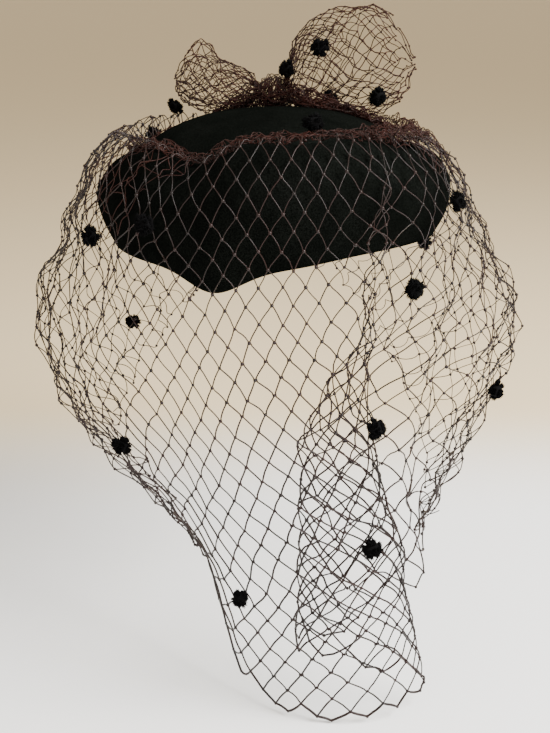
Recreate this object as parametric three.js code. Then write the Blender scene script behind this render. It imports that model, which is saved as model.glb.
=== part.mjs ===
// A felt cocktail hat: a low crown inside a turned-up cuff, a dotted net veil and a net bow.
// Millimetres, +Z up. The origin is the centre of the head opening, in the plane of the cuff's rim.
// Angles are in degrees round the hat, from the centre front (-Y) towards the wearer's left (+X).
import * as THREE from "three";

// Felt
const FELT_WALL = 2;
const SEAT_GAP = 0.3;
const CUFF_BELLY = { halfWidth: 88, halfDepth: 95 };
const CUFF_HEIGHTS = [
  { angle: -150, rim: 0, crest: 41 },
  { angle: -105, rim: -2, crest: 43 },
  { angle: -70, rim: -1, crest: 46 },
  { angle: -40, rim: 0, crest: 50 },
  { angle: -16, rim: 0, crest: 51 },
  { angle: 0, rim: -1, crest: 54 },
  { angle: 20, rim: 2, crest: 55 },
  { angle: 45, rim: 6, crest: 55 },
  { angle: 75, rim: 5, crest: 48 },
  { angle: 105, rim: 1, crest: 43 },
  { angle: 140, rim: 0, crest: 41 },
  { angle: 180, rim: 0, crest: 40 },
];
// The cuff's section from its rim, round the belly and over the crest: how far each point lies
// inside the belly, and its share of the cuff's height.
const CUFF_SECTION = [
  { inset: 7.5, rise: 0 },
  { inset: 2.2, rise: 0.25 },
  { inset: 0, rise: 0.5 },
  { inset: 1.5, rise: 0.72 },
  { inset: 6.5, rise: 0.9 },
  { inset: 13, rise: 1 },
  { inset: 18, rise: 0.98 },
];
const RIM_PEAK = { angle: 0, height: -8, spread: 11 };
const CREST_DIP = { angle: -6, height: -8, spread: 10 };
const FRONT_TUCK = { angle: -9, rise: 0.52, depth: 3, spread: 8, riseSpread: 0.17 };
const CUFF_STEPS = 48;
const CUFF_SECTION_STEPS = 8;

const CROWN_HEIGHT = 62;
const CROWN_RIM = {
  halfWidth: CUFF_BELLY.halfWidth - CUFF_SECTION[0].inset - FELT_WALL - SEAT_GAP,
  halfDepth: CUFF_BELLY.halfDepth - CUFF_SECTION[0].inset - FELT_WALL - SEAT_GAP,
};
// The crown's section from its top to its rim: share of the rim's radius and height.
const CROWN_SECTION = [
  { share: 0, height: CROWN_HEIGHT },
  { share: 0.38, height: 59.5 },
  { share: 0.63, height: 53.5 },
  { share: 0.79, height: 46 },
  { share: 0.89, height: 36 },
  { share: 0.955, height: 22 },
  { share: 0.99, height: 8 },
  { share: 1, height: 0 },
];
const CROWN_STEPS = 32;
const CROWN_SECTION_STEPS = 7;

// Net
const NET_WALL = 1.2;
const VEIL_BAR_SHARE = 0.27;
const BOW_BAR_SHARE = 0.3;
const NET_EDGE_STEPS = 2;

// The veil's top at each angle: lift of its gathered edge over the crest, and how far its shoulder
// stands off the belly and drops below the crest.
const VEIL_TOP = [
  { angle: -162, lift: 5, off: 6, drop: 10 },
  { angle: -102, lift: 5, off: 5, drop: 11 },
  { angle: -42, lift: 4, off: 4, drop: 12 },
  { angle: -12, lift: 2, off: 3, drop: 13 },
  { angle: 8, lift: 2, off: 3, drop: 15 },
  { angle: 48, lift: 2, off: 3, drop: 15 },
  { angle: 63, lift: 4, off: 4, drop: 13 },
  { angle: 88, lift: 5, off: 3, drop: 12 },
  { angle: 118, lift: 6, off: 4, drop: 11 },
  { angle: 148, lift: 6, off: 6, drop: 10 },
];
// Its line from the gathered edge to the shoulder passes over the crest.
const VEIL_CREST = { inset: 11, liftShare: 0.7, rise: 1.5 };
// The veil's fall at each angle: radius and height of its bulge, its lower part and its hem.
const VEIL_FALL = [
  { angle: -162, bulgeR: 116, bulgeZ: -14, lowR: 113, lowZ: -32, hemR: 106, hemZ: -46 },
  { angle: -132, bulgeR: 121, bulgeZ: -20, lowR: 116, lowZ: -46, hemR: 102, hemZ: -64 },
  { angle: -102, bulgeR: 125, bulgeZ: -30, lowR: 116, lowZ: -74, hemR: 95, hemZ: -98 },
  { angle: -72, bulgeR: 124, bulgeZ: -34, lowR: 112, lowZ: -84, hemR: 85, hemZ: -112 },
  { angle: -42, bulgeR: 115, bulgeZ: -45, lowR: 103, lowZ: -94, hemR: 74, hemZ: -122 },
  { angle: -12, bulgeR: 103, bulgeZ: -50, lowR: 95, lowZ: -110, hemR: 70, hemZ: -160 },
  { angle: 8, bulgeR: 105, bulgeZ: -60, lowR: 101, lowZ: -130, hemR: 87, hemZ: -212 },
  { angle: 28, bulgeR: 106, bulgeZ: -60, lowR: 107, lowZ: -140, hemR: 101, hemZ: -225 },
  { angle: 48, bulgeR: 109, bulgeZ: -55, lowR: 110, lowZ: -138, hemR: 112, hemZ: -220 },
  { angle: 63, bulgeR: 115, bulgeZ: -50, lowR: 100, lowZ: -146, hemR: 108, hemZ: -207 },
  { angle: 76, bulgeR: 120, bulgeZ: -48, lowR: 103, lowZ: -118, hemR: 88, hemZ: -168 },
  { angle: 88, bulgeR: 123, bulgeZ: -38, lowR: 105, lowZ: -105, hemR: 84, hemZ: -156 },
  { angle: 118, bulgeR: 126, bulgeZ: -40, lowR: 111, lowZ: -98, hemR: 90, hemZ: -146 },
  { angle: 148, bulgeR: 123, bulgeZ: -34, lowR: 114, lowZ: -76, hemR: 99, hemZ: -108 },
  { angle: 173, bulgeR: 117, bulgeZ: -16, lowR: 114, lowZ: -36, hemR: 106, hemZ: -54 },
];
const VEIL_STOPS = { gather: 0, crest: 0.07, shoulder: 0.16, flank: 0.33, bulge: 0.5, low: 0.75, hem: 1 };
// How the net lies at the hem against its even spread at the top: at each angle of the top, how far
// round its hem runs ahead, how far out its layer lies and how far its hem is drawn up. Where ahead
// falls faster than the angle grows, the net doubles back in a pleat.
const VEIL_CLOTH = [
  { angle: -162, ahead: 0, layer: 0, rise: 0 },
  { angle: -110, ahead: 11, layer: 0, rise: 0 },
  { angle: -60, ahead: 20, layer: 1, rise: 0 },
  { angle: -42, ahead: 22, layer: 2, rise: 0 },
  { angle: -28, ahead: 14, layer: -1, rise: 0 },
  { angle: -14, ahead: 17, layer: -1, rise: 0 },
  { angle: 8, ahead: 25, layer: 2.5, rise: 0 },
  { angle: 20, ahead: 30, layer: 4.5, rise: 0 },
  { angle: 30, ahead: 29, layer: 4, rise: 0 },
  { angle: 42, ahead: 0, layer: 0, rise: 28 },
  { angle: 54, ahead: -29, layer: -4, rise: 37 },
  { angle: 64, ahead: -33, layer: -4.5, rise: 44 },
  { angle: 82, ahead: -22, layer: -2.5, rise: 58 },
  { angle: 96, ahead: -18, layer: -1, rise: 14 },
  { angle: 110, ahead: -14, layer: 0, rise: 0 },
];
// Shares of the fall over which the net comes to run ahead, and to run back under the pleat
const PLEAT_AHEAD = { start: 0.3, end: 1 };
const PLEAT_BACK = { start: 0.2, end: 0.6 };
const VEIL_TOP_GAP = 0.75;
const VEIL_COLUMNS = 18;
const VEIL_ROWS = [0, 0.12, 0.28, 0.45, 0.62, 0.8, 1];
// The columns crowd towards this angle, by this many degrees at most, where the fall is longest.
const VEIL_CROWDING = { angle: 20, degrees: 14 };

const GATHER_INSET = 20;
const GATHER_HALF_WIDTH = 3.5;
const GATHER_RUCHES = 24;
const GATHER_RUCHE_STEPS = 3;
const GATHER_RUCHE_DEPTH = 0.12;
const GATHER_SIDES = 6;

// Bow: both loops start at the knot. Each one swells and closes towards its tip, its upper side rises
// to a corner, and its underside has a share of the upper side's height.
const BOW_KNOT = { x: -14, y: 42, z: 65, halfWidth: 8, halfDepth: 9, halfHeight: 9.5 };
const KNOT_FOLDS = { count: 6, depth: 0.1 };
const KNOT_SIDES = 12;
const KNOT_LEVELS = [0.25, 0.5, 0.75];
const BOW_LOOPS = [
  {
    name: "bow_loop_right",
    tip: { x: 60, y: 46, z: 81 },
    halfHeight: 31,
    halfDepth: 24,
    underside: 0.68,
    corner: { along: 0.72, height: 6.5, spread: 0.25 },
    section: [
      { along: 0, swell: 0.2 },
      { along: 0.15, swell: 0.82 },
      { along: 0.35, swell: 1 },
      { along: 0.6, swell: 0.95 },
      { along: 0.85, swell: 0.74 },
      { along: 1, swell: 0.2 },
    ],
  },
  {
    name: "bow_loop_left",
    tip: { x: -70, y: 40, z: 70 },
    halfHeight: 13,
    halfDepth: 17,
    underside: 1,
    corner: { along: 0.74, height: 10, spread: 0.2 },
    section: [
      { along: 0, swell: 0.2 },
      { along: 0.2, swell: 0.75 },
      { along: 0.45, swell: 0.98 },
      { along: 0.7, swell: 0.98 },
      { along: 0.9, swell: 0.68 },
      { along: 1, swell: 0.2 },
    ],
  },
];
const BOW_START = 7.8;
const BOW_COLUMNS = 5;
const BOW_ROWS = [0, 0.34, 0.68, 1];

// Chenille dots: tufts of cut pile. On the net a dot's place is its angle and its share of the fall
// from the top, or of the way from the knot.
const DOT = { radius: 5.6, height: 8.5, locks: 5, lockDepth: 0.16 };
const DOT_SECTION = [
  { up: 1, spread: 0 },
  { up: 0.82, spread: 0.62 },
  { up: 0.45, spread: 1 },
  { up: 0, spread: 0.6 },
  { up: 0, spread: 0 },
];
const NET_DOTS = [
  { on: "veil", angle: -33, share: 0.265 },
  { on: "veil", angle: -120, share: 0.81 },
  { on: "veil", angle: -34, share: 0.66 },
  { on: "veil", angle: 73, share: 0.205 },
  { on: "veil", angle: 62, share: 0.33 },
  { on: "veil", angle: 35.5, share: 0.535 },
  { on: "veil", angle: 98, share: 0.59 },
  { on: "veil", angle: 21.5, share: 0.7 },
  { on: "veil", angle: -6.5, share: 0.82 },
  { on: "veil", angle: -14.5, share: 0.21 },
  { on: "veil", angle: 157, share: 0.475 },
  { on: "veil", angle: -115, share: 0.13 },
  { on: "bow_loop_right", angle: 203, share: 0.15 },
  { on: "bow_loop_right", angle: 210, share: 0.4 },
  { on: "bow_loop_right", angle: 152, share: 0.73 },
  { on: "bow_loop_right", angle: 21, share: 0.245 },
  { on: "bow_loop_left", angle: 242, share: 0.88 },
];
const GATHER_DOT_ANGLE = 31;

const FELT = { color: 0x121513, roughness: 0.95 };
const NET = { color: 0x2b1d1f, roughness: 0.8 };
const CHENILLE = { color: 0x0c0b0c, roughness: 0.95 };

const radians = THREE.MathUtils.degToRad;
const turnBetween = (angle, centre) => THREE.MathUtils.euclideanModulo(angle - centre + 180, 360) - 180;
const bell = (angle, { angle: centre, height, spread }) =>
  height * Math.exp(-((turnBetween(angle, centre) / spread) ** 2));

// Smooth curve through four neighbouring stations, at s between the second and the third
function hermite([a0, a1, a2, a3], [v0, v1, v2, v3], at) {
  const span = a2 - a1;
  const s = (at - a1) / span;
  const m1 = a1 === a0 ? v2 - v1 : ((v2 - v0) / (a2 - a0)) * span;
  const m2 = a3 === a2 ? v2 - v1 : ((v3 - v1) / (a3 - a1)) * span;
  const start = (2 * s ** 3 - 3 * s ** 2 + 1) * v1 + (s ** 3 - 2 * s ** 2 + s) * m1;
  return start + (3 * s ** 2 - 2 * s ** 3) * v2 + (s ** 3 - s ** 2) * m2;
}

// Value of one column of a table whose rows stand round the hat, at any angle
function roundHat(rows, column, angle) {
  const first = rows[0].angle;
  const at = THREE.MathUtils.euclideanModulo(angle - first, 360) + first;
  const count = rows.length;
  let k = rows.findLastIndex((row) => row.angle <= at);
  k = Math.max(k, 0);
  const neighbours = [k - 1, k, k + 1, k + 2];
  const stations = neighbours.map((i) => rows[(i + count) % count].angle + 360 * Math.floor(i / count));
  const values = neighbours.map((i) => rows[(i + count) % count][column]);
  return hermite(stations, values, at);
}

// Value at a place along a list of stations
function alongLine(stations, values, at) {
  const last = stations.length - 1;
  const found = stations.findLastIndex((station) => station <= at);
  const k = Math.min(Math.max(found, 0), last - 1);
  const neighbours = [Math.max(k - 1, 0), k, k + 1, Math.min(k + 2, last)];
  return hermite(neighbours.map((i) => stations[i]), neighbours.map((i) => values[i]), at);
}

const alongRows = (rows, column, at) =>
  alongLine(rows.map((row, i) => i / (rows.length - 1)), rows.map((row) => row[column]), at);

const onPlan = (angle, radius, height) =>
  new THREE.Vector3(radius * Math.sin(radians(angle)), -radius * Math.cos(radians(angle)), height);

const ovalRadius = (angle, { halfWidth, halfDepth }) =>
  1 / Math.hypot(Math.sin(radians(angle)) / halfWidth, Math.cos(radians(angle)) / halfDepth);

const rimHeight = (angle) => roundHat(CUFF_HEIGHTS, "rim", angle) + bell(angle, RIM_PEAK);
const crestHeight = (angle) => roundHat(CUFF_HEIGHTS, "crest", angle) + bell(angle, CREST_DIP);
const bellyRadius = (angle) => ovalRadius(angle, CUFF_BELLY);

// Outer face of the cuff, along from 0 at the rim to 1 at the inner edge over the crest
function cuffFace(angle, along) {
  const rise = alongRows(CUFF_SECTION, "rise", along);
  const offTuck = (rise - FRONT_TUCK.rise) / FRONT_TUCK.riseSpread;
  const tuck = bell(angle, { ...FRONT_TUCK, height: FRONT_TUCK.depth }) * Math.exp(-(offTuck ** 2));
  const radius = bellyRadius(angle) - alongRows(CUFF_SECTION, "inset", along) - tuck;
  return onPlan(angle, radius, THREE.MathUtils.lerp(rimHeight(angle), crestHeight(angle), rise));
}

// Outer face of the crown, along from 0 at the top to 1 at the rim
function crownFace(angle, along) {
  const radius = ovalRadius(angle, CROWN_RIM) * alongRows(CROWN_SECTION, "share", along);
  const height = alongRows(CROWN_SECTION, "height", along);
  return onPlan(angle, radius, height + rimHeight(angle) * (1 - height / CROWN_HEIGHT));
}

// Height of the crown's outer face at a place on the plan
function crownHeightAt(x, y) {
  const HALVINGS = 24;
  const angle = THREE.MathUtils.radToDeg(Math.atan2(x, -y));
  const radius = Math.hypot(x, y);
  let near = 0;
  let far = 1;
  for (let i = 0; i < HALVINGS; i += 1) {
    const middle = (near + far) / 2;
    const reach = crownFace(angle, middle);
    if (Math.hypot(reach.x, reach.y) < radius) near = middle;
    else far = middle;
  }
  return crownFace(angle, near).z;
}

// Lifts a point that would lie closer than the gap over the crown
function clearOfCrown(point, gap) {
  point.z = Math.max(point.z, crownHeightAt(point.x, point.y) + gap);
  return point;
}

// Mid face of the veil, fall from 0 at the gathered edge to 1 at the hem
function veilFace(angle, fall) {
  const grown = (span) => THREE.MathUtils.smoothstep(fall, span.start, span.end);
  const ahead = roundHat(VEIL_CLOTH, "ahead", angle);
  const turned = angle + ahead * grown(ahead > 0 ? PLEAT_AHEAD : PLEAT_BACK);
  const layer = roundHat(VEIL_CLOTH, "layer", angle) * grown(PLEAT_BACK);
  const rise = roundHat(VEIL_CLOTH, "rise", angle) * grown(PLEAT_AHEAD);
  const top = (column) => roundHat(VEIL_TOP, column, turned);
  const low = (column) => roundHat(VEIL_FALL, column, turned);
  const belly = bellyRadius(turned);
  const crest = crestHeight(turned);
  const lift = top("lift");
  const shoulder = { r: belly + top("off"), z: crest - top("drop") };
  const bulge = { r: low("bulgeR"), z: low("bulgeZ") };
  const line = [
    { r: belly - GATHER_INSET + GATHER_HALF_WIDTH + VEIL_TOP_GAP, z: crest + lift },
    { r: belly - VEIL_CREST.inset, z: crest + VEIL_CREST.liftShare * lift + VEIL_CREST.rise },
    shoulder,
    { r: (shoulder.r + bulge.r) / 2, z: (shoulder.z + bulge.z) / 2 },
    bulge,
    { r: low("lowR"), z: low("lowZ") },
    { r: low("hemR"), z: low("hemZ") },
  ];
  const stops = Object.values(VEIL_STOPS);
  const radius = alongLine(stops, line.map((stop) => stop.r), fall) + layer;
  return onPlan(turned, radius, alongLine(stops, line.map((stop) => stop.z), fall) + rise);
}

// Mid face of a bow loop: a pouch round the line from the knot to its tip
function loopFace(loop, angle, along) {
  const knot = new THREE.Vector3(BOW_KNOT.x, BOW_KNOT.y, BOW_KNOT.z);
  const tip = new THREE.Vector3(loop.tip.x, loop.tip.y, loop.tip.z);
  const axis = tip.clone().sub(knot);
  const length = axis.length();
  axis.normalize();
  const depth = new THREE.Vector3(0, 1, 0).addScaledVector(axis, -axis.y).normalize();
  const up = new THREE.Vector3().crossVectors(depth, axis);
  const { section, corner } = loop;
  const swell = alongLine(section.map((row) => row.along), section.map((row) => row.swell), along);
  const skyward = Math.sign(up.z);
  const side = Math.sin(radians(angle));
  const reach = loop.halfHeight * (skyward * side < 0 ? loop.underside : 1);
  const upper = Math.max(skyward * side, 0) ** 2;
  const peak = corner.height * upper * Math.exp(-(((along - corner.along) / corner.spread) ** 2));
  const point = knot.addScaledVector(axis, BOW_START + (length - BOW_START) * along);
  point.addScaledVector(up, reach * swell * side + skyward * peak);
  point.addScaledVector(depth, loop.halfDepth * swell * Math.cos(radians(angle)));
  return clearOfCrown(point, NET_WALL + SEAT_GAP);
}

// Point at a distance from a face along its normal. The face is a function of an angle and a share,
// and the normal points outwards where the share runs down the hat.
function offFace(face, angle, share, distance) {
  const TURN = 0.5;
  const STEP = 0.01;
  const low = Math.max(share - STEP, 0);
  const high = Math.min(share + STEP, 1);
  const across = face(angle + TURN, share).sub(face(angle - TURN, share));
  const down = face(angle, high).sub(face(angle, low));
  const normal = new THREE.Vector3().crossVectors(down, across).normalize();
  return face(angle, share).addScaledVector(normal, distance);
}

function geometryFrom(points, triangles) {
  const geometry = new THREE.BufferGeometry();
  geometry.setAttribute("position", new THREE.Float32BufferAttribute(points.flatMap((p) => p.toArray()), 3));
  geometry.setIndex(triangles.flat());
  geometry.computeVertexNormals();
  return geometry;
}

// Closed surface from rows of points that each go once round it. A row of one point is a pole,
// and with no poles the last row joins the first.
function closedRows(rows) {
  const points = rows.flat();
  const starts = [];
  let count = 0;
  for (const row of rows) {
    starts.push(count);
    count += row.length;
  }
  const triangles = [];
  const joins = rows[0].length === 1 ? rows.length - 1 : rows.length;
  for (let i = 0; i < joins; i += 1) {
    const j = (i + 1) % rows.length;
    const steps = Math.max(rows[i].length, rows[j].length);
    const near = (k) => starts[i] + (k % rows[i].length);
    const far = (k) => starts[j] + (k % rows[j].length);
    for (let k = 0; k < steps; k += 1) {
      if (rows[i].length > 1) triangles.push([near(k), far(k), near(k + 1)]);
      if (rows[j].length > 1) triangles.push([near(k + 1), far(k), far(k + 1)]);
    }
  }
  return geometryFrom(points, triangles);
}

const stepsOf = (count) => Array.from({ length: count }, (_, i) => i);
const sharesOf = (count) => Array.from({ length: count + 1 }, (_, i) => i / count);

function crownGeometry() {
  const turns = stepsOf(CROWN_STEPS).map((i) => (i * 360) / CROWN_STEPS);
  const shares = sharesOf(CROWN_SECTION_STEPS).slice(1);
  const outer = shares.map((share) => turns.map((angle) => crownFace(angle, share)));
  const inner = shares.map((share) => turns.map((angle) => offFace(crownFace, angle, share, -FELT_WALL)));
  const top = [new THREE.Vector3(0, 0, CROWN_HEIGHT)];
  const ceiling = [new THREE.Vector3(0, 0, CROWN_HEIGHT - FELT_WALL)];
  return closedRows([top, ...outer, ...inner.reverse(), ceiling]);
}

function cuffGeometry() {
  const turns = stepsOf(CUFF_STEPS).map((i) => (i * 360) / CUFF_STEPS);
  const shares = sharesOf(CUFF_SECTION_STEPS);
  const outer = shares.map((share) => turns.map((angle) => cuffFace(angle, share)));
  const inner = shares.map((share) => turns.map((angle) => offFace(cuffFace, angle, share, FELT_WALL)));
  return closedRows([...outer.reverse(), ...inner]);
}

// A point of the gathered edge: across from -1 inside to 1 outside, up from -1 to 1
function gatherPoint(angle, across, up) {
  const lift = roundHat(VEIL_TOP, "lift", angle);
  const radius = bellyRadius(angle) - GATHER_INSET + GATHER_HALF_WIDTH * across;
  const point = onPlan(angle, radius, crestHeight(angle) + lift + lift * up);
  return clearOfCrown(point, SEAT_GAP);
}

// The ruched edge of the net: a ring whose section is a rounded oblong, taller where the net stands up
function gatherGeometry() {
  const steps = GATHER_RUCHES * GATHER_RUCHE_STEPS;
  const rows = stepsOf(GATHER_SIDES).map((side) => {
    const turn = (-side * 2 * Math.PI) / GATHER_SIDES;
    const across = Math.cbrt(Math.cos(turn));
    const up = Math.cbrt(Math.sin(turn));
    return stepsOf(steps).map((i) => {
      const angle = (i * 360) / steps;
      const ruche = GATHER_RUCHE_DEPTH * Math.cos(radians(angle) * GATHER_RUCHES);
      return gatherPoint(angle, across, side > GATHER_SIDES / 2 ? up + ruche : up);
    });
  });
  return closedRows(rows);
}

// Angle of a net's knots, counted in half columns
function knotAngle({ columns, crowding }, half) {
  const even = (half * 180) / columns;
  return even - crowding.degrees * Math.sin(radians(even - crowding.angle));
}

// Wall of diamond net over a face. Knots stand at the crossings of rows and columns, every second row
// half a column along. tied moves a knot to the place of its dot.
function netGeometry(net, tied) {
  const { face, columns, rows, bar, headed } = net;
  const halves = columns * 2;
  const points = [];
  const found = new Map();
  const knotPlace = (row, half) => {
    const wrapped = THREE.MathUtils.euclideanModulo(half, halves);
    const moved = tied.get(`${row},${wrapped}`);
    const lap = ((half - wrapped) / halves) * 360;
    if (moved) return { angle: moved.angle + lap, share: moved.share };
    return { angle: knotAngle(net, half), share: rows[row] };
  };
  const blend = (a, b, t) => ({
    angle: THREE.MathUtils.lerp(a.angle, b.angle, t),
    share: THREE.MathUtils.lerp(a.share, b.share, t),
  });
  // Both faces of the wall at one place of the net: the outer point, then the inner one
  const pairAt = (key, place) => {
    if (!found.has(key)) {
      found.set(key, points.length);
      points.push(offFace(face, place.angle, place.share, NET_WALL / 2));
      points.push(offFace(face, place.angle, place.share, -NET_WALL / 2));
    }
    return found.get(key);
  };
  const edgeKey = (a, b, step) => {
    const row = a.row * (NET_EDGE_STEPS - step) + b.row * step;
    const half = a.half * (NET_EDGE_STEPS - step) + b.half * step;
    return `${row},${THREE.MathUtils.euclideanModulo(half, halves * NET_EDGE_STEPS)}`;
  };
  const triangles = [];
  const quad = (a, b, c, d) => triangles.push([a, b, c], [a, c, d]);
  const open = new Map();
  const cell = (corners, pierced) => {
    const loop = [];
    corners.forEach((corner, i) => {
      const next = corners[(i + 1) % corners.length];
      for (let step = 0; step < NET_EDGE_STEPS; step += 1) {
        const ends = [knotPlace(corner.row, corner.half), knotPlace(next.row, next.half)];
        loop.push({ key: edgeKey(corner, next, step), place: blend(...ends, step / NET_EDGE_STEPS) });
      }
    });
    const centre = {
      angle: loop.reduce((sum, p) => sum + p.place.angle, 0) / loop.length,
      share: loop.reduce((sum, p) => sum + p.place.share, 0) / loop.length,
    };
    const name = corners.map((corner) => `${corner.row}:${corner.half}`).join("/");
    const rim = loop.map((p) => pairAt(p.key, p.place));
    const inner = loop.map((p, i) => pairAt(`${name}#${i}`, blend(p.place, centre, pierced ? bar : 0.5)));
    rim.forEach((a, i) => {
      const j = (i + 1) % rim.length;
      const [b, c, d] = [rim[j], inner[j], inner[i]];
      quad(a, b, c, d);
      quad(a + 1, d + 1, c + 1, b + 1);
      if (pierced) quad(d, c, c + 1, d + 1);
      if (open.has(`${b},${a}`)) open.delete(`${b},${a}`);
      else open.set(`${a},${b}`, [a, b]);
    });
    if (!pierced) {
      const middle = pairAt(`${name}#centre`, centre);
      inner.forEach((a, i) => {
        const b = inner[(i + 1) % inner.length];
        triangles.push([a, b, middle], [b + 1, a + 1, middle + 1]);
      });
    }
  };
  const last = rows.length - 1;
  for (let column = 0; column < columns; column += 1) {
    for (let row = 1; row < last; row += 1) {
      const half = column * 2 + ((row + 1) % 2);
      const corners = [
        { row: row - 1, half },
        { row, half: half - 1 },
        { row: row + 1, half },
        { row, half: half + 1 },
      ];
      cell(corners, true);
    }
    if (headed) {
      const half = column * 2;
      cell([{ row: 0, half }, { row: 1, half: half + 1 }, { row: 0, half: half + 2 }], false);
      const tail = column * 2 + (last % 2);
      cell([{ row: last, half: tail }, { row: last, half: tail + 2 }, { row: last - 1, half: tail + 1 }], true);
    }
  }
  for (const [a, b] of open.values()) quad(b, a, a + 1, b + 1);
  return geometryFrom(points, triangles);
}

// Gives each dot the knot of the net that lies nearest to it
function tieDots(dots, net) {
  const { columns, rows } = net;
  const tied = new Map();
  for (const dot of dots) {
    let nearest = { distance: Infinity };
    rows.forEach((share, row) => {
      for (let column = 0; column < columns; column += 1) {
        const half = column * 2 + (row % 2);
        const at = knotAngle(net, half);
        const turn = turnBetween(at, dot.angle);
        const distance = Math.hypot((turn * columns) / 180, (share - dot.share) * rows.length);
        const key = `${row},${half}`;
        const free = row > 0 && !tied.has(key);
        if (free && distance < nearest.distance) nearest = { distance, key, angle: at - turn };
      }
    });
    tied.set(nearest.key, { angle: nearest.angle, share: dot.share });
  }
  return tied;
}

function knotGeometry() {
  const { x, y, z, halfWidth, halfDepth, halfHeight } = BOW_KNOT;
  const place = (turn, tilt) => {
    const pinch = 1 + KNOT_FOLDS.depth * Math.cos(turn * KNOT_FOLDS.count);
    const px = x + halfWidth * Math.sin(tilt) * Math.cos(turn) * pinch;
    const py = y + halfDepth * Math.sin(tilt) * Math.sin(turn) * pinch;
    const pz = z + halfHeight * Math.cos(tilt);
    return clearOfCrown(new THREE.Vector3(px, py, pz), SEAT_GAP);
  };
  const rings = KNOT_LEVELS.map((level) =>
    stepsOf(KNOT_SIDES).map((i) => place((i * 2 * Math.PI) / KNOT_SIDES, level * Math.PI)),
  );
  return closedRows([[place(0, 0)], ...rings, [place(0, Math.PI)]]);
}

// One tuft on a flat back, its axis along +Z
function dotGeometry() {
  const { radius, height, locks, lockDepth } = DOT;
  const sides = locks * 2;
  const rows = DOT_SECTION.map(({ up, spread }) => {
    if (spread === 0) return [new THREE.Vector3(0, 0, up * height)];
    return stepsOf(sides).map((i) => {
      const turn = (i * 2 * Math.PI) / sides;
      const reach = radius * spread * (i % 2 === 0 ? 1 : 1 - lockDepth);
      return new THREE.Vector3(reach * Math.cos(turn), reach * Math.sin(turn), up * height);
    });
  });
  return closedRows(rows);
}

function part(name, geometry, finish) {
  const mesh = new THREE.Mesh(geometry, new THREE.MeshStandardMaterial(finish));
  mesh.name = name;
  return mesh;
}

// Stands a dot on a place of a net, its axis along the net's normal and clear of the net's wall
function standOnNet(dot, face, { angle, share }) {
  const foot = offFace(face, angle, share, NET_WALL / 2 + SEAT_GAP);
  const ahead = offFace(face, angle, share, NET_WALL / 2 + SEAT_GAP + 1);
  dot.position.copy(foot);
  dot.quaternion.setFromUnitVectors(new THREE.Vector3(0, 0, 1), ahead.sub(foot).normalize());
}

const nets = [
  {
    name: "veil",
    face: veilFace,
    columns: VEIL_COLUMNS,
    crowding: VEIL_CROWDING,
    rows: VEIL_ROWS,
    bar: VEIL_BAR_SHARE,
    headed: true,
  },
  ...BOW_LOOPS.map((loop) => ({
    name: loop.name,
    face: (angle, share) => loopFace(loop, angle, share),
    columns: BOW_COLUMNS,
    crowding: { angle: 0, degrees: 0 },
    rows: BOW_ROWS,
    bar: BOW_BAR_SHARE,
    headed: false,
  })),
];
const faceOf = (name) => nets.find((net) => net.name === name).face;
const dotName = (i) => `dot_${String(i + 1).padStart(2, "0")}`;

const hat = new THREE.Group();
hat.add(part("crown", crownGeometry(), FELT));
hat.add(part("cuff", cuffGeometry(), FELT));
hat.add(part("gathered_edge", gatherGeometry(), NET));
for (const net of nets) {
  const tied = tieDots(NET_DOTS.filter((dot) => dot.on === net.name), net);
  hat.add(part(net.name, netGeometry(net, tied), NET));
}
hat.add(part("bow_knot", knotGeometry(), NET));

NET_DOTS.forEach((place, i) => {
  const dot = part(dotName(i), dotGeometry(), CHENILLE);
  standOnNet(dot, faceOf(place.on), place);
  hat.add(dot);
});
const gatherDot = part(dotName(NET_DOTS.length), dotGeometry(), CHENILLE);
gatherDot.position.copy(gatherPoint(GATHER_DOT_ANGLE, 0, 1 + GATHER_RUCHE_DEPTH));
gatherDot.position.z += SEAT_GAP;
hat.add(gatherDot);

export default hat;
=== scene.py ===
"""Dresses the packed cocktail hat in felt, fine thread net and chenille dots, and sets the studio.

Tables and surface functions are in millimetres, and angles in degrees round the hat, from the
centre front (-Y) towards the wearer's left (+X). Meshes are in metres, in the frame's own axes.
"""

import math
from functools import partial

import bpy
import numpy as np
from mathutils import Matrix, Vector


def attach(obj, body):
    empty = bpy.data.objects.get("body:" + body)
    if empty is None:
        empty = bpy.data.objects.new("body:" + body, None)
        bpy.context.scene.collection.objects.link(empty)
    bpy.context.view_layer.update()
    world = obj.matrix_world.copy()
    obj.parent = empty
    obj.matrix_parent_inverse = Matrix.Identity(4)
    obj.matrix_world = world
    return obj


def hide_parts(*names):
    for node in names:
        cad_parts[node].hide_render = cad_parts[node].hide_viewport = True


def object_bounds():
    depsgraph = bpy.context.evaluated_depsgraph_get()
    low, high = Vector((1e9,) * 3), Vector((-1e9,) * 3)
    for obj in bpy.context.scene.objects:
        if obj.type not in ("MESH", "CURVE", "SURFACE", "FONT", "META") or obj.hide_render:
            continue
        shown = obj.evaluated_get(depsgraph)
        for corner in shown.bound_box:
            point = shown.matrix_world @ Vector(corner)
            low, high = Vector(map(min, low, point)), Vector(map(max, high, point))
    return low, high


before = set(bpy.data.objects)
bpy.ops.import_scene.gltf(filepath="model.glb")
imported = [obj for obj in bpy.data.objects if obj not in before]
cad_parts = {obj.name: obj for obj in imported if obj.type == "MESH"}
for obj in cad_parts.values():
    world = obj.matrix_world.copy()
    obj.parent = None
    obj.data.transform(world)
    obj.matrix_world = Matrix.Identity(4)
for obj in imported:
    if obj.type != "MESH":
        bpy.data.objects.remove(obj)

bl_info = {
    "name": "Cocktail hat",
    "version": (1, 0, 0),
    "blender": (4, 5, 0),
    "location": "View3D > Sidebar > Hat",
    "description": "Felt, net, chenille dots and studio of a veiled cocktail hat",
    "category": "Object",
}

BODY = "root"
MM = 0.001
CAD_BOX = [list(corner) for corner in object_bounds()]

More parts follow.
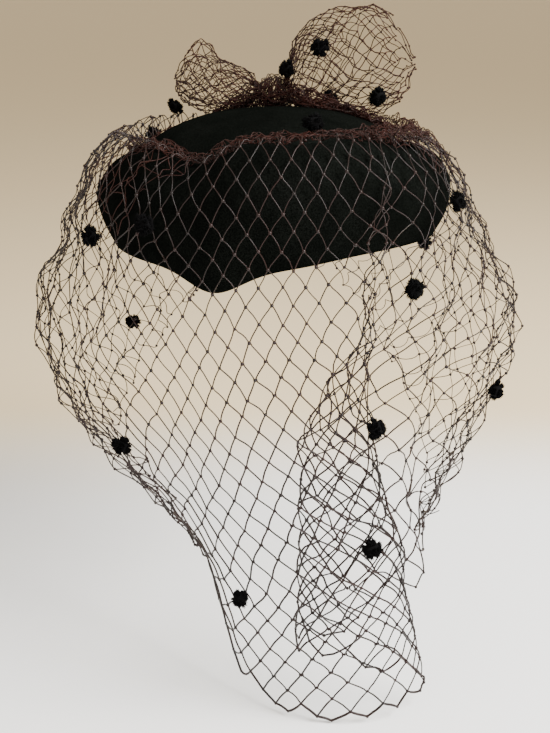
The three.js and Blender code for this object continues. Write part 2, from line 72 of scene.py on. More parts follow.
# Felt
FELT_WALL = 2
SEAT_GAP = 0.3
CUFF_BELLY = {"half_width": 88, "half_depth": 95}
CUFF_HEIGHTS = {
    "angle": [-150, -105, -70, -40, -16, 0, 20, 45, 75, 105, 140, 180],
    "rim": [0, -2, -1, 0, 0, -1, 2, 6, 5, 1, 0, 0],
    "crest": [41, 43, 46, 50, 51, 54, 55, 55, 48, 43, 41, 40],
}
CUFF_SECTION = {
    "inset": [7.5, 2.2, 0, 1.5, 6.5, 13, 18],
    "rise": [0, 0.25, 0.5, 0.72, 0.9, 1, 0.98],
}
RIM_PEAK = {"angle": 0, "height": -8, "spread": 11}
CREST_DIP = {"angle": -6, "height": -8, "spread": 10}
# Tuck pressed into the front, round a share of the way up
FRONT_TUCK = {"angle": -9, "depth": 3, "spread": 8}
TUCK_RISE = {"middle": 0.52, "spread": 0.17}
# The felt gives way a little on the wearer's right, from the belly up
SHOULDER_SAG = {"angle": -66, "depth": 7, "spread": 34}
SAG_RISE = (0.3, 0.85)
CUFF_GRID = (288, 44)
CROWN_HEIGHT = 62
CROWN_RIM = {"half_width": 78.2, "half_depth": 85.2}
CROWN_SECTION = {
    "share": [0, 0.38, 0.63, 0.79, 0.89, 0.955, 0.99, 1],
    "height": [62, 59.5, 53.5, 46, 36, 22, 8, 0],
}
CROWN_GRID = (240, 48)

# Veil
VEIL_TOP = {
    "angle": [-162, -102, -42, -12, 8, 48, 63, 88, 118, 148],
    "lift": [5, 5, 4, 2, 2, 2, 4, 5, 6, 6],
    "off": [6, 5, 4, 3, 3, 3, 4, 3, 4, 6],
    "drop": [10, 11, 12, 13, 15, 15, 13, 12, 11, 10],
}
VEIL_CREST = {"inset": 11, "lift_share": 0.7, "rise": 1.5}
VEIL_FALL = {
    "angle": [-162, -132, -102, -72, -42, -12, 8, 28, 48, 63, 76, 88, 118, 148, 173],
    "bulge_r": [116, 121, 125, 124, 115, 103, 105, 106, 109, 115, 120, 123, 126, 123, 117],
    "bulge_z": [-14, -20, -30, -34, -45, -50, -60, -60, -55, -50, -48, -38, -40, -34, -16],
    "low_r": [113, 116, 116, 112, 103, 95, 101, 107, 110, 100, 103, 105, 111, 114, 114],
    "low_z": [-32, -46, -74, -84, -94, -110, -130, -140, -138, -146, -118, -105, -98, -76, -36],
    "hem_r": [106, 102, 95, 85, 74, 70, 87, 101, 112, 108, 88, 84, 90, 99, 106],
    "hem_z": [-46, -64, -98, -112, -122, -160, -212, -225, -220, -207, -168, -156, -146, -108, -54],
}
VEIL_STOPS = [0, 0.07, 0.16, 0.33, 0.5, 0.75, 1]
VEIL_CLOTH = {
    "angle": [-162, -110, -60, -42, -28, -14, 8, 20, 30, 42, 54, 64, 82, 96, 110],
    "ahead": [0, 11, 20, 22, 14, 17, 25, 30, 29, 0, -29, -33, -22, -18, -14],
    "layer": [0, 0, 1, 2, -1, -1, 2.5, 4.5, 4, 0, -4, -4.5, -2.5, -1, 0],
    "rise": [0, 0, 0, 0, 0, 0, 0, 0, 0, 28, 37, 44, 58, 14, 0],
}
PLEAT_AHEAD = (0.3, 1)
PLEAT_BACK = (0.2, 0.6)
# Small pleats where the net is slack: where each one starts, how far it leans round the hat on its
# way down, how far it turns back, how far its layers lie apart, and the fall at which it opens
SLACK_PLEATS = {
    "angle": [-140, -4, 55, 148],
    "lean": [0, -70, -40, 0],
    "turn": [3.5, 5.5, 6.5, 5],
    "layer": [2, 3, 2.5, 2.5],
    "width": [6, 8.5, 4, 5],
    "open": [1, 0.75, 0.42, 1],
}
SLACK_GROWTH = (0.04, 0.3)
SLACK_OPENING = 0.2
# Ripples of the net away from the front: how far they stand out and turn it, their waves round the
# hat and down the fall, and the stretch of front that stays calm
VEIL_RIPPLE = {"out": 4.5, "turn": 1.5, "round": (17, 11), "down": (21, 26)}
CALM_FRONT = {"angle": 5, "share": 1, "spread": 52}
# The net stands up in a dome over the crest on the wearer's right, towards the back
BACK_DOME = {"angle": -118, "height": 6, "spread": 34}
DOME_RISE = (0, 0.06)
DOME_END = (0.08, 0.26)
# Depth of a row of knots down the fall, and over how many half columns to either side rows are evened
VEIL_PITCH = {"fall": [0, 0.3, 0.6, 1], "pitch": [7.8, 7.8, 8, 9]}
ROW_EVENING = 3
# Share of a row by which the last one may be cut short at the hem
HEM_ALLOWANCE = 0.8
# Where the hem's thicker thread lies
HEM_THICK = {"angle": 8, "share": 1, "spread": 32}
# The thread is stouter low on the veil's front, by a share that grows between two heights
LOW_THREAD = {"angle": 22, "share": 0.95, "spread": 56}
LOW_THREAD_HEIGHTS = (30, -150)

# Gathered edge
GATHER_INSET = 20
GATHER_HALF_WIDTH = 3.5
VEIL_TOP_GAP = 0.75
# The ring lies flatter on the wearer's right
GATHER_LOW = {"angle": -66, "share": 0.8, "spread": 46}
# Net drawn up round the ring's section, which it follows through a part of a turn
RUCHE = {"columns": 76, "rows": 6, "stray": 1.1, "turn": (1.2, -0.2)}
# Crumpled net over the gathered edge: at each angle how many of its rows there are, how far down the
# veil's fall they would all reach and how far its knots stray
CRUMPLE = {
    "angle": [-150, -100, -70, -50, -30, -12, 2, 20, 38, 60, 85, 110, 145, 180],
    "rows": [3, 1, 2, 11, 14, 12, 9, 7, 7, 12, 13, 11, 6, 3],
    "fall": [0.06, 0.08, 0.15, 0.25, 0.27, 0.16, 0.08, 0.04, 0.04, 0.13, 0.18, 0.14, 0.08, 0.06],
    "stray": [0.9, 0.9, 1.2, 1.5, 1.6, 1.6, 1.6, 0.9, 0.8, 1.1, 1.3, 1.2, 0.9, 0.9],
}
CRUMPLE_COLUMNS = 58
CRUMPLE_ROWS = 14
CRUMPLE_OVER = 0.36
CRUMPLE_LAID = (0.1, 0.3)
# It stands off in waves round the hat and down its rows, outwards and upwards in these shares
CRUMPLE_LIFT = 0.7
CRUMPLE_WAVES = {"round": (43, 29), "down": (9, 15)}
CRUMPLE_LEAN = (0.2, 0.8)

# Bow
BOW_KNOT = {"place": (-14, 42, 65), "half_depth": 9, "half_height": 9.5, "half_width": 8}
BOW_LOOPS = {
    "bow_loop_right": {
        "tip": (60, 46, 81),
        "half_height": 31,
        "half_depth": 24,
        "underside": 0.68,
        "corner": {"along": 0.72, "height": 6.5, "spread": 0.25},
        "along": [0, 0.15, 0.35, 0.6, 0.85, 1],
        "swell": [0.2, 0.82, 1, 0.95, 0.74, 0.2],
        "columns": 22,
        "inner": {"layer": 0.84, "reach": 0.5, "columns": 15},
    },
    "bow_loop_left": {
        "tip": (-70, 40, 70),
        "half_height": 13,
        "half_depth": 17,
        "underside": 1,
        "corner": {"along": 0.74, "height": 10, "spread": 0.2},
        "along": [0, 0.2, 0.45, 0.7, 0.9, 1],
        "swell": [0.2, 0.75, 0.98, 0.98, 0.68, 0.2],
        "columns": 15,
        "inner": {"layer": 0.7, "reach": 0.9, "columns": 10},
    },
}
BOW_START = 7.8
# Depth of a row of knots, measured along the line at this angle
BOW_PITCH = 4.3
BOW_LINE = 90
BOW_SLACK = 0.7
BOW_RIPPLE = {"depth": 0.07, "round": 5, "along": 9}
BOW_CLOSING = {"start": 0.93, "share": 0.5}
BOW_TIP_ROWS = 3
# Turns of thread round the bow's knot: how much smaller they are at its ends, how their sizes and
# tilts vary, their waves, and how far along the knot they are spread
KNOT_WRAPS = {
    "count": 34,
    "steps": 48,
    "taper": 0.6,
    "sizes": (0.75, 1.05),
    "tilt": 0.5,
    "wave": 0.07,
    "waves": 5,
    "spread": 0.8,
}
# Net bunched on the crown under the bow, in layers: highest at the bow's knot, and with a share of
# its depth and height far from it
BOW_BASE = {
    "middle": -2,
    "reach": 50,
    "half_depth": 14,
    "far_depth": 0.5,
    "height": 12,
    "far_height": 0.35,
    "swell": 26,
    "columns": 15,
    "stray": 1.7,
    "layers": (1, 0.6),
}

# Chenille dots, in the order of the nodes: the net that carries each one, its angle and its share
# of the way down. The last one stands on the gathered edge.
DOT_PLACES = [
    ("veil", -33, 0.265),
    ("veil", -120, 0.81),
    ("veil", -34, 0.66),
    ("veil", 73, 0.205),
    ("veil", 62, 0.33),
    ("veil", 35.5, 0.535),
    ("veil", 98, 0.59),
    ("veil", 21.5, 0.7),
    ("veil", -6.5, 0.82),
    ("veil", -14.5, 0.21),
    ("veil", 157, 0.475),
    ("veil", -115, 0.13),
    ("bow_loop_right", 203, 0.15),
    ("bow_loop_right", 210, 0.4),
    ("bow_loop_right", 152, 0.73),
    ("bow_loop_right", 21, 0.245),
    ("bow_loop_left", 242, 0.88),
]
GATHER_DOT_ANGLE = 31
GATHER_RUCHE_DEPTH = 0.12
# Over how many columns and rows a dot pulls the net to itself
DOT_PULL = {"columns": 2.4, "rows": 1.8}
# A tuft: how its locks stray and vary, how far fibres are drawn to a lock's middle and shortened away
# from it, how their lengths vary, where their foot and neck are, how much thinner the neck is, and the
# size of the core and how often its faces are split. The slant and the lean give each fibre and each
# dot a side to turn from.
TUFT = {
    "stray": 0.3,
    "locks": (0.86, 1.1),
    "drawn": 0.45,
    "shortened": 0.3,
    "lengths": (0.82, 1.06),
    "foot": 0.45,
    "neck": 0.85,
    "taper": 1.3,
    "core": 0.62,
    "splits": 2,
    "slant": (0.3, 0.5, 0.8),
    "lean": 0.37,
}

# Cut ends of thread that stick out of the net: angle, share of the fall, and where they point
LOOSE_ENDS = [
    {"angle": 84, "fall": 0.13, "reach": (2, -1, 9)},
    {"angle": 118, "fall": 0.9, "reach": (7, 2, 6)},
    {"angle": 104, "fall": 0.98, "reach": (8, 0, 4)},
    {"angle": -96, "fall": 0.97, "reach": (-5, 1, -5)},
    {"angle": 60, "fall": 0.05, "reach": (3, -3, 5)},
]
LOOSE_POINTS = 7
LOOSE_BEND = 0.15

# Net
NET_SEED = 7
NET_WALL = 1.2
THREAD_SIDES = 4
HEM_SIDES = 6
# How far a strand is bowed out below each knot
STRAND_BOW = 0.22
# Sizes of the knots, as shares of their setting
VEIL_KNOT_SIZES = (0.85, 1.1)
BOW_KNOT_SIZES = (0.5, 0.75)

# Points at which lines are measured
CROWN_SAMPLES = 200
VEIL_SAMPLES = 301
LINE_SAMPLES = 401

# Camera, as the photograph was taken: round the hat, downwards, and from how far
CAMERA_AZIMUTH = 18
CAMERA_PITCH = 20.5
CAMERA_DISTANCE = 0.509
CAMERA_HEIGHT = 0.1156
CAMERA_NEAR = 0.01
CAMERA_FOCUS_PX = 1000
IMAGE_HEIGHT_PX = 733
SENSOR_MM = 36

# Floor disc, its distance below the hat, and how far behind the hat it turns warmer, in metres
FLOOR = {"radius": 80, "steps": 96, "gap": 0.0015, "pale": 0.1, "warm": 0.32}
# Soft lights: where they stand and how large they are, in metres
LIGHTS = {
    "key_light": {"place": (0.85, -0.2, 0.7), "size": 0.7},
    "fill_light": {"place": (-0.5, -0.9, 0.5), "size": 0.9},
}


# Curves


def curve(stations, values, at):
    """Smooth line through one value, or array of values, at each station, read at `at`.

    Between two stations it is the cubic that passes through both, with slopes taken from the
    stations on either side, and with straight ends.
    """
    stations = np.asarray(stations, float)
    at = np.asarray(at, float)
    stack = np.stack(np.broadcast_arrays(*values, at)[:-1])
    last = len(stations) - 1
    at = np.broadcast_to(at, stack.shape[1:])
    near = np.clip(np.searchsorted(stations, at, side="right") - 1, 0, last - 1)
    before = np.maximum(near - 1, 0)
    far = near + 1
    after = np.minimum(far + 1, last)
    v0, v1, v2, v3 = (np.take_along_axis(stack, k[None], 0)[0] for k in (before, near, far, after))
    a0, a1, a2, a3 = (stations[k] for k in (before, near, far, after))
    span = a2 - a1
    s = (at - a1) / span
    leave = (v2 - v0) * span / (a2 - a0)
    arrive = (v3 - v1) * span / (a3 - a1)
    start = (2 * s**3 - 3 * s**2 + 1) * v1 + (s**3 - 2 * s**2 + s) * leave
    return start + (3 * s**2 - 2 * s**3) * v2 + (s**3 - s**2) * arrive


def round_hat(table, column, angle):
    """Column of a table whose rows stand round the hat, read at any angle; the ends meet."""
    angles = np.array(table["angle"], float)
    values = np.array(table[column], float)
    stations = np.concatenate([angles[-2:] - 360, angles, angles[:2] + 360])
    wrapped = np.concatenate([values[-2:], values, values[:2]])
    return curve(stations, wrapped, (angle - angles[0]) % 360 + angles[0])


def along_section(column, at):
    """Evenly spaced column of a section, read at a share of the way along."""
    return curve(np.linspace(0, 1, len(column)), column, at)


def fade(off, spread):
    """exp(-(off / spread)^2)."""
    return np.exp(-((off / spread) ** 2))


def turn_from(centre, angle):
    """Turn from a centre to an angle, the shorter way round the hat."""
    return (angle - centre + 180) % 360 - 180


def bell(angle, table):
    """A table's height, depth or share, which fades away from its angle round the hat."""
    centre, height, spread = table.values()
    return height * fade(turn_from(centre, angle), spread)


def smoothstep(at, start, end):
    """3t^2 - 2t^3 of the share t of the way from start to end."""
    t = np.clip((at - start) / (end - start), 0, 1)
    return t * t * (3 - 2 * t)


def swell(at, rise, end):
    """Grows from 0 to 1 over one stretch and shrinks back over another."""
    return smoothstep(at, *rise) * (1 - smoothstep(at, *end))


def crossed_waves(waves, angle, share):
    """Phases of two waves, m turn + p share and n turn - q share, that cross on their way down."""
    turn = np.radians(angle)
    m, n = waves["round"]
    p, q = waves["down"]
    return m * turn + p * share, n * turn - q * share


def unit(vectors):
    """Vectors of length one along their last axis."""
    return vectors / np.maximum(np.linalg.norm(vectors, axis=-1, keepdims=True), 1e-12)


# Surfaces of the hat


def on_plan(angle, radius, height):
    """Points at an angle from the front, a radius from the hat's axis and a height."""
    turn = np.radians(angle)
    return np.stack(np.broadcast_arrays(radius * np.sin(turn), -radius * np.cos(turn), height), -1)


def angle_of(points):
    """Angle from the front at which points lie."""
    return np.degrees(np.arctan2(points[..., 0], -points[..., 1]))


def raised(points, height):
    """Points moved up."""
    return points + height[..., None] * [0, 0, 1]


def oval_radius(angle, oval):
    """Radius of an ellipse: 1 / sqrt((sin / half width)^2 + (cos / half depth)^2)."""
    turn = np.radians(angle)
    return 1 / np.hypot(np.sin(turn) / oval["half_width"], np.cos(turn) / oval["half_depth"])


def rim_height(angle):
    """Height of the felt's lower edge, with the point at its front."""
    return round_hat(CUFF_HEIGHTS, "rim", angle) + bell(angle, RIM_PEAK)


def crest_height(angle):
    """Height of the cuff's upper edge, with the dip at its front."""
    return round_hat(CUFF_HEIGHTS, "crest", angle) + bell(angle, CREST_DIP)


def shoulder_sag(angle):
    """How far the felt's upper edge, and the gathers on it, have sunk."""
    return bell(angle, SHOULDER_SAG)


def cuff_face(angle, along):
    """Outer face of the cuff, along from 0 at the rim, round the belly, to 1 over the crest.

    The section's inset is taken off the belly's ellipse, its rise runs between rim and crest, the
    tuck is a two-way bell pressed into the front, and the sag lowers the crest on one side.
    """
    rise = along_section(CUFF_SECTION["rise"], along)
    pressed = bell(angle, FRONT_TUCK) * fade(rise - TUCK_RISE["middle"], TUCK_RISE["spread"])
    radius = oval_radius(angle, CUFF_BELLY) - along_section(CUFF_SECTION["inset"], along) - pressed
    rim = rim_height(angle)
    sag = shoulder_sag(angle) * smoothstep(rise, *SAG_RISE)
    return on_plan(angle, radius, rim + (crest_height(angle) - rim) * rise - sag)


def crown_face(angle, along):
    """Outer face of the crown, along from 0 at the top to 1 at the rim: scaled ellipses."""
    radius = oval_radius(angle, CROWN_RIM) * along_section(CROWN_SECTION["share"], along)
    height = along_section(CROWN_SECTION["height"], along)
    return on_plan(angle, radius, height + rim_height(angle) * (1 - height / CROWN_HEIGHT))


def clear_of_crown(points, gap):
    """Points lifted where they would lie closer than the gap over the crown."""
    angle = angle_of(points)
    share = np.hypot(points[..., 0], points[..., 1]) / oval_radius(angle, CROWN_RIM)
    stations = np.linspace(0, 1, CROWN_SAMPLES)
    shares = along_section(CROWN_SECTION["share"], stations)
    floor = crown_face(angle, np.interp(share, shares, stations))[..., 2]
    height = np.where(share < 1, np.maximum(points[..., 2], floor + gap), points[..., 2])
    return np.concatenate([points[..., :2], height[..., None]], -1)


def gather_lift(angle):
    """Height of the gathered edge's middle over the crest."""
    return round_hat(VEIL_TOP, "lift", angle) * (1 - bell(angle, GATHER_LOW))


def veil_face(angle, fall, turn=0, out=0):
    """Mid face of the veil, fall from 0 at the gathered edge to 1 at the hem.

    A smooth line runs through the gathered edge, the crest, the shoulder, the flank, the bulge, the
    lower part and the hem. Down the fall the cloth runs ahead or back round the hat as its table
    says, which folds it over in a pleat whose under layers are drawn up; `turn` and `out` move it
    further. Where the felt has sunk, the net starts as much lower and further in.
    """
    over = smoothstep(fall, *PLEAT_AHEAD)
    under = smoothstep(fall, *PLEAT_BACK)
    ahead = round_hat(VEIL_CLOTH, "ahead", angle)
    turned = angle + ahead * np.where(ahead > 0, over, under) + turn
    layer = round_hat(VEIL_CLOTH, "layer", angle) * under + out
    belly = oval_radius(turned, CUFF_BELLY)
    crest = crest_height(turned)
    lift = round_hat(VEIL_TOP, "lift", turned)
    sag = shoulder_sag(turned)
    shoulder_r = belly + round_hat(VEIL_TOP, "off", turned)
    shoulder_z = crest - round_hat(VEIL_TOP, "drop", turned)
    low = {column: round_hat(VEIL_FALL, column, turned) for column in VEIL_FALL if column != "angle"}
    radii = [
        belly - GATHER_INSET + GATHER_HALF_WIDTH + VEIL_TOP_GAP - sag,
        belly - VEIL_CREST["inset"],
        shoulder_r,
        (shoulder_r + low["bulge_r"]) / 2,
        *(low[part] for part in ("bulge_r", "low_r", "hem_r")),
    ]
    heights = [
        crest + gather_lift(turned) - sag,
        crest + VEIL_CREST["lift_share"] * lift + VEIL_CREST["rise"],
        shoulder_z,
        (shoulder_z + low["bulge_z"]) / 2,
        *(low[part] for part in ("bulge_z", "low_z", "hem_z")),
    ]
    radius = curve(VEIL_STOPS, radii, fall) + layer
    rise = round_hat(VEIL_CLOTH, "rise", angle) * over
    return on_plan(turned, radius, curve(VEIL_STOPS, heights, fall) + rise)


def looseness(angle):
    """1 where the net hangs loose and 0 in the calm stretch of front."""
    return 1 - bell(angle, CALM_FRONT)


def slack_veil(angle, fall):
    """The veil with its ripples, its small pleats and the dome over the crest.

    Ripples stand out by sine * sine of crossed waves and turn the net by cosine * sine. Near a pleat
    the net turns by -x exp(1/2 - x^2/2), x widths away.
    """
    first, second = crossed_waves(VEIL_RIPPLE, angle, fall)
    ripple = looseness(angle) * np.sin(second) * smoothstep(fall, *SLACK_GROWTH)
    turn = VEIL_RIPPLE["turn"] * np.cos(first) * ripple
    out = VEIL_RIPPLE["out"] * np.sin(first) * ripple
    for centre, lean, size, layer, width, opens in zip(*SLACK_PLEATS.values()):
        x = turn_from(centre + lean * fall, angle) / width
        shut = swell(fall, SLACK_GROWTH, (opens - SLACK_OPENING, opens))
        fold = -x * np.exp(0.5 - x**2 / 2) * shut
        turn = turn + size * fold
        out = out + layer * fold
    dome = bell(angle, BACK_DOME) * swell(fall, DOME_RISE, DOME_END)
    return raised(veil_face(angle, fall, turn, out), dome)


def loop_face(loop, angle, along):
    """Mid face of a bow loop: ovals round the line from the knot to the tip, swelling and closing.

    The upper side rises to a corner by height * sin^2 * exp(-(off / spread)^2), and the underside
    has a share of the upper side's height.
    """
    knot = np.array(BOW_KNOT["place"], float)
    axis = np.array(loop["tip"]) - knot
    length = np.linalg.norm(axis)
    axis = axis / length
    depth = unit(np.array([0, 1, 0]) - axis * axis[1])
    up = np.cross(depth, axis)
    along = np.asarray(along, float)
    turn = np.radians(angle)
    side = np.sin(turn)
    skyward = np.sign(up[2])
    corner = loop["corner"]
    upper = np.maximum(skyward * side, 0) ** 2
    peak = corner["height"] * upper * fade(along - corner["along"], corner["spread"])
    size = curve(loop["along"], loop["swell"], along)
    reach = loop["half_height"] * np.where(skyward * side < 0, loop["underside"], 1)
    middle = knot + axis * (BOW_START + (length - BOW_START) * along)[..., None]
    rise = up * (reach * size * side + skyward * peak)[..., None]
    point = middle + rise + depth * (loop["half_depth"] * size * np.cos(turn))[..., None]
    return clear_of_crown(point, NET_WALL + SEAT_GAP)


def crumpled_loop(loop, angle, along, layer):
    """A layer of a bow loop with ripples, drawn together at its tip.

    It is layer * (1 + depth * sin(round * turn + along * way / layer) * sin(pi * way)) as large.
    """
    ripple = np.sin(BOW_RIPPLE["round"] * np.radians(angle) + BOW_RIPPLE["along"] * along / layer)
    shut = BOW_CLOSING["share"] * smoothstep(along, BOW_CLOSING["start"], 1)
    grown = layer * (1 + BOW_RIPPLE["depth"] * ripple * np.sin(np.pi * along)) * (1 - shut)
    level = np.zeros_like(angle)
    middle = (loop_face(loop, level, along) + loop_face(loop, level + 180, along)) / 2
    return middle + (loop_face(loop, angle, along) - middle) * grown[..., None]


def gather_point(angle, across, up):
    """Point of the gathered edge, across from -1 inside to 1 outside and up from -1 to 1."""
    lift = gather_lift(angle)
    radius = oval_radius(angle, CUFF_BELLY) - GATHER_INSET + GATHER_HALF_WIDTH * across
    height = crest_height(angle) - shoulder_sag(angle) + lift + lift * up
    return clear_of_crown(on_plan(angle, radius, height), SEAT_GAP)


def ruche_face(angle, share):
    """Net drawn up round the gathered edge's section, from its inside over its top to its outside."""
    start, end = RUCHE["turn"]
    turn = np.pi * (start + (end - start) * share)
    return gather_point(angle, np.cos(turn), np.sin(turn))


def gather_band(angle, share):
    """Crumpled net: from inside the gathered edge, over it and then down the veil.

    It stands off by lift * (1 + sin * sin) of crossed waves.
    """
    over = np.minimum(share / CRUMPLE_OVER - 1, 0)
    edge = gather_point(angle, 1 + 2 * over, np.sin(-np.pi * over))
    down = np.maximum(share - CRUMPLE_OVER, 0) / (1 - CRUMPLE_OVER)
    fall = round_hat(CRUMPLE, "fall", angle) * down
    laid = shoulder_sag(angle) * swell(fall, VEIL_STOPS[:2], CRUMPLE_LAID)
    veil = raised(veil_face(angle, fall), -laid)
    points = np.where((share < CRUMPLE_OVER)[..., None], edge, veil)
    first, second = crossed_waves(CRUMPLE_WAVES, angle, share)
    lift = 1 + np.sin(first) * np.sin(second)
    out, up = CRUMPLE_LEAN
    lean = unit(on_plan(angle, down + out, up))
    return clear_of_crown(points + CRUMPLE_LIFT * lift[..., None] * lean, SEAT_GAP)


def bow_base_face(angle, along, layer):
    """A layer of net bunched on the crown: a lying tube, higher and wider near the bow's knot.

    It rises over the crown by height * (1 + sin turn) / 2.
    """
    base = BOW_BASE
    knot_x, knot_y, _ = BOW_KNOT["place"]
    x = base["middle"] + base["reach"] * (2 * along - 1)
    near = fade(x - knot_x, base["swell"])
    turn = np.radians(angle)
    depth = base["far_depth"] + (1 - base["far_depth"]) * near
    height = base["far_height"] + (1 - base["far_height"]) * near
    y = knot_y + base["half_depth"] * layer * depth * np.cos(turn)
    points = clear_of_crown(np.stack(np.broadcast_arrays(x, y, 0.0), -1), 2 * SEAT_GAP)
    return raised(points, base["height"] * layer * height * (1 + np.sin(turn)) / 2)


def outward(face, angle, share):
    """Unit normal of a face, from steps round it and along it; it points out where shares run down."""
    turn = 0.5
    step = 0.01
    across = face(angle + turn, share) - face(angle - turn, share)
    down = face(angle, np.minimum(share + step, 1)) - face(angle, np.maximum(share - step, 0))
    return unit(np.cross(down, across))


# Meshes


def shell_mesh(outer, inner, top=None, ceiling=None):
    """Closed wall between two grids of rows that go once round.

    The outer rows run up to the edge, the inner ones back from it, and the last row joins the first.
    With a top and a ceiling, the rows end in those poles instead.
    """
    rows = np.concatenate([outer, inner[::-1]])
    count, steps = rows.shape[:2]
    first = np.arange(count * steps).reshape(count, steps)
    following = np.roll(first, -1, 0)
    if top is not None:
        following = following[:-1]
    near = first[: len(following)]
    quads = np.stack([near, following, np.roll(following, -1, 1), np.roll(near, -1, 1)], -1)
    faces = quads.reshape(-1, 4).tolist()
    points = rows.reshape(-1, 3)
    if top is not None:
        points = np.concatenate([points, [top, ceiling]])
        start = np.stack([np.full(steps, count * steps), first[0], np.roll(first[0], -1)], -1)
        end = np.stack([first[-1], np.full(steps, count * steps + 1), np.roll(first[-1], -1)], -1)
        faces += start.tolist() + end.tolist()
    return points, faces


def tube_mesh(paths, radius, sides):
    """Tubes along paths with flat ends: rings of points, turned as little as possible on the way."""
    count, length = paths.shape[:2]
    ahead = np.concatenate([paths[:, 1:], paths[:, -1:]], 1)
    behind = np.concatenate([paths[:, :1], paths[:, :-1]], 1)
    tangent = unit(ahead - behind)
    steep = 0.9
    level = np.where(np.abs(tangent[:, :1, 2:]) < steep, [0, 0, 1], [1, 0, 0])
    side = np.repeat(unit(np.cross(tangent[:, :1], level)), length, 1)
    for k in range(1, length):
        carried = side[:, k - 1]
        along = np.sum(carried * tangent[:, k], -1, keepdims=True)
        side[:, k] = unit(carried - tangent[:, k] * along)
    up = np.cross(tangent, side)
    turn = np.arange(sides) * 2 * np.pi / sides
    spokes = side[:, :, None] * np.cos(turn)[:, None] + up[:, :, None] * np.sin(turn)[:, None]
    points = (paths[:, :, None] + radius * spokes).reshape(-1, 3)
    index = np.arange(count * length * sides).reshape(count, length, sides)
    near = index[:, :-1]
    far = index[:, 1:]
    walls = np.stack([near, np.roll(near, -1, 2), np.roll(far, -1, 2), far], -1).reshape(-1, 4)
    ends = np.concatenate([index[:, 0, ::-1], index[:, -1]])
    return points, walls.tolist() + ends.tolist()


def ball(levels):
    """Unit ball: an icosahedron whose triangles are split in four `levels` times and pushed out."""
    golden = (1 + math.sqrt(5)) / 2
    corners = [(-1, golden, 0), (1, golden, 0), (-1, -golden, 0), (1, -golden, 0)]
    corners += [(0, -1, golden), (0, 1, golden), (0, -1, -golden), (0, 1, -golden)]
    corners += [(golden, 0, -1), (golden, 0, 1), (-golden, 0, -1), (-golden, 0, 1)]
    points = unit(np.array(corners, float))
    faces = [(0, 11, 5), (0, 5, 1), (0, 1, 7), (0, 7, 10), (0, 10, 11)]
    faces += [(1, 5, 9), (5, 11, 4), (11, 10, 2), (10, 7, 6), (7, 1, 8)]
    faces += [(3, 9, 4), (3, 4, 2), (3, 2, 6), (3, 6, 8), (3, 8, 9)]
    faces += [(4, 9, 5), (2, 4, 11), (6, 2, 10), (8, 6, 7), (9, 8, 1)]
    faces = np.array(faces)
    for _ in range(levels):
        edges = np.concatenate([faces[:, [0, 1]], faces[:, [1, 2]], faces[:, [2, 0]]])
        pairs, found = np.unique(np.sort(edges, 1), axis=0, return_inverse=True)
        middle = len(points) + found.reshape(3, -1)
        points = np.concatenate([points, unit(points[pairs].mean(1))])
        a, b, c = faces.T
        ab, bc, ca = middle
        parts = [(a, ab, ca), (b, bc, ab), (c, ca, bc), (ab, bc, ca)]
        faces = np.concatenate([np.stack(corner, 1) for corner in parts])
    return points, faces


def beads_mesh(places, radius):
    """Small knots of thread: one split-free ball at each place, scaled by its own radius."""
    points, faces = ball(0)
    swollen = places[:, None] + points[None] * radius[:, None, None]
    index = faces[None] + (np.arange(len(places)) * len(points))[:, None, None]
    return swollen.reshape(-1, 3), index.reshape(-1, 3).tolist()


def new_object(name, data):
    """Object that holds the data, in the scene."""
    made = bpy.data.objects.new(name, data)
    bpy.context.scene.collection.objects.link(made)
    return made


def mesh_object(name, points, faces, material):
    """Smooth object from points in metres and faces."""
    data = bpy.data.meshes.new(name)
    data.from_pydata(points.tolist(), [], faces, shade_flat=False)
    data.materials.append(material)
    return new_object(name, data)


def new_piece(name, mesh, material, nodes=()):
    """Object from points in millimetres and faces, riding on the hat's body."""
    points, faces = mesh
    piece = mesh_object(name, points * MM, faces, material)
    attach(piece, BODY)
    if nodes:
        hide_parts(*nodes)
    return piece


# Net


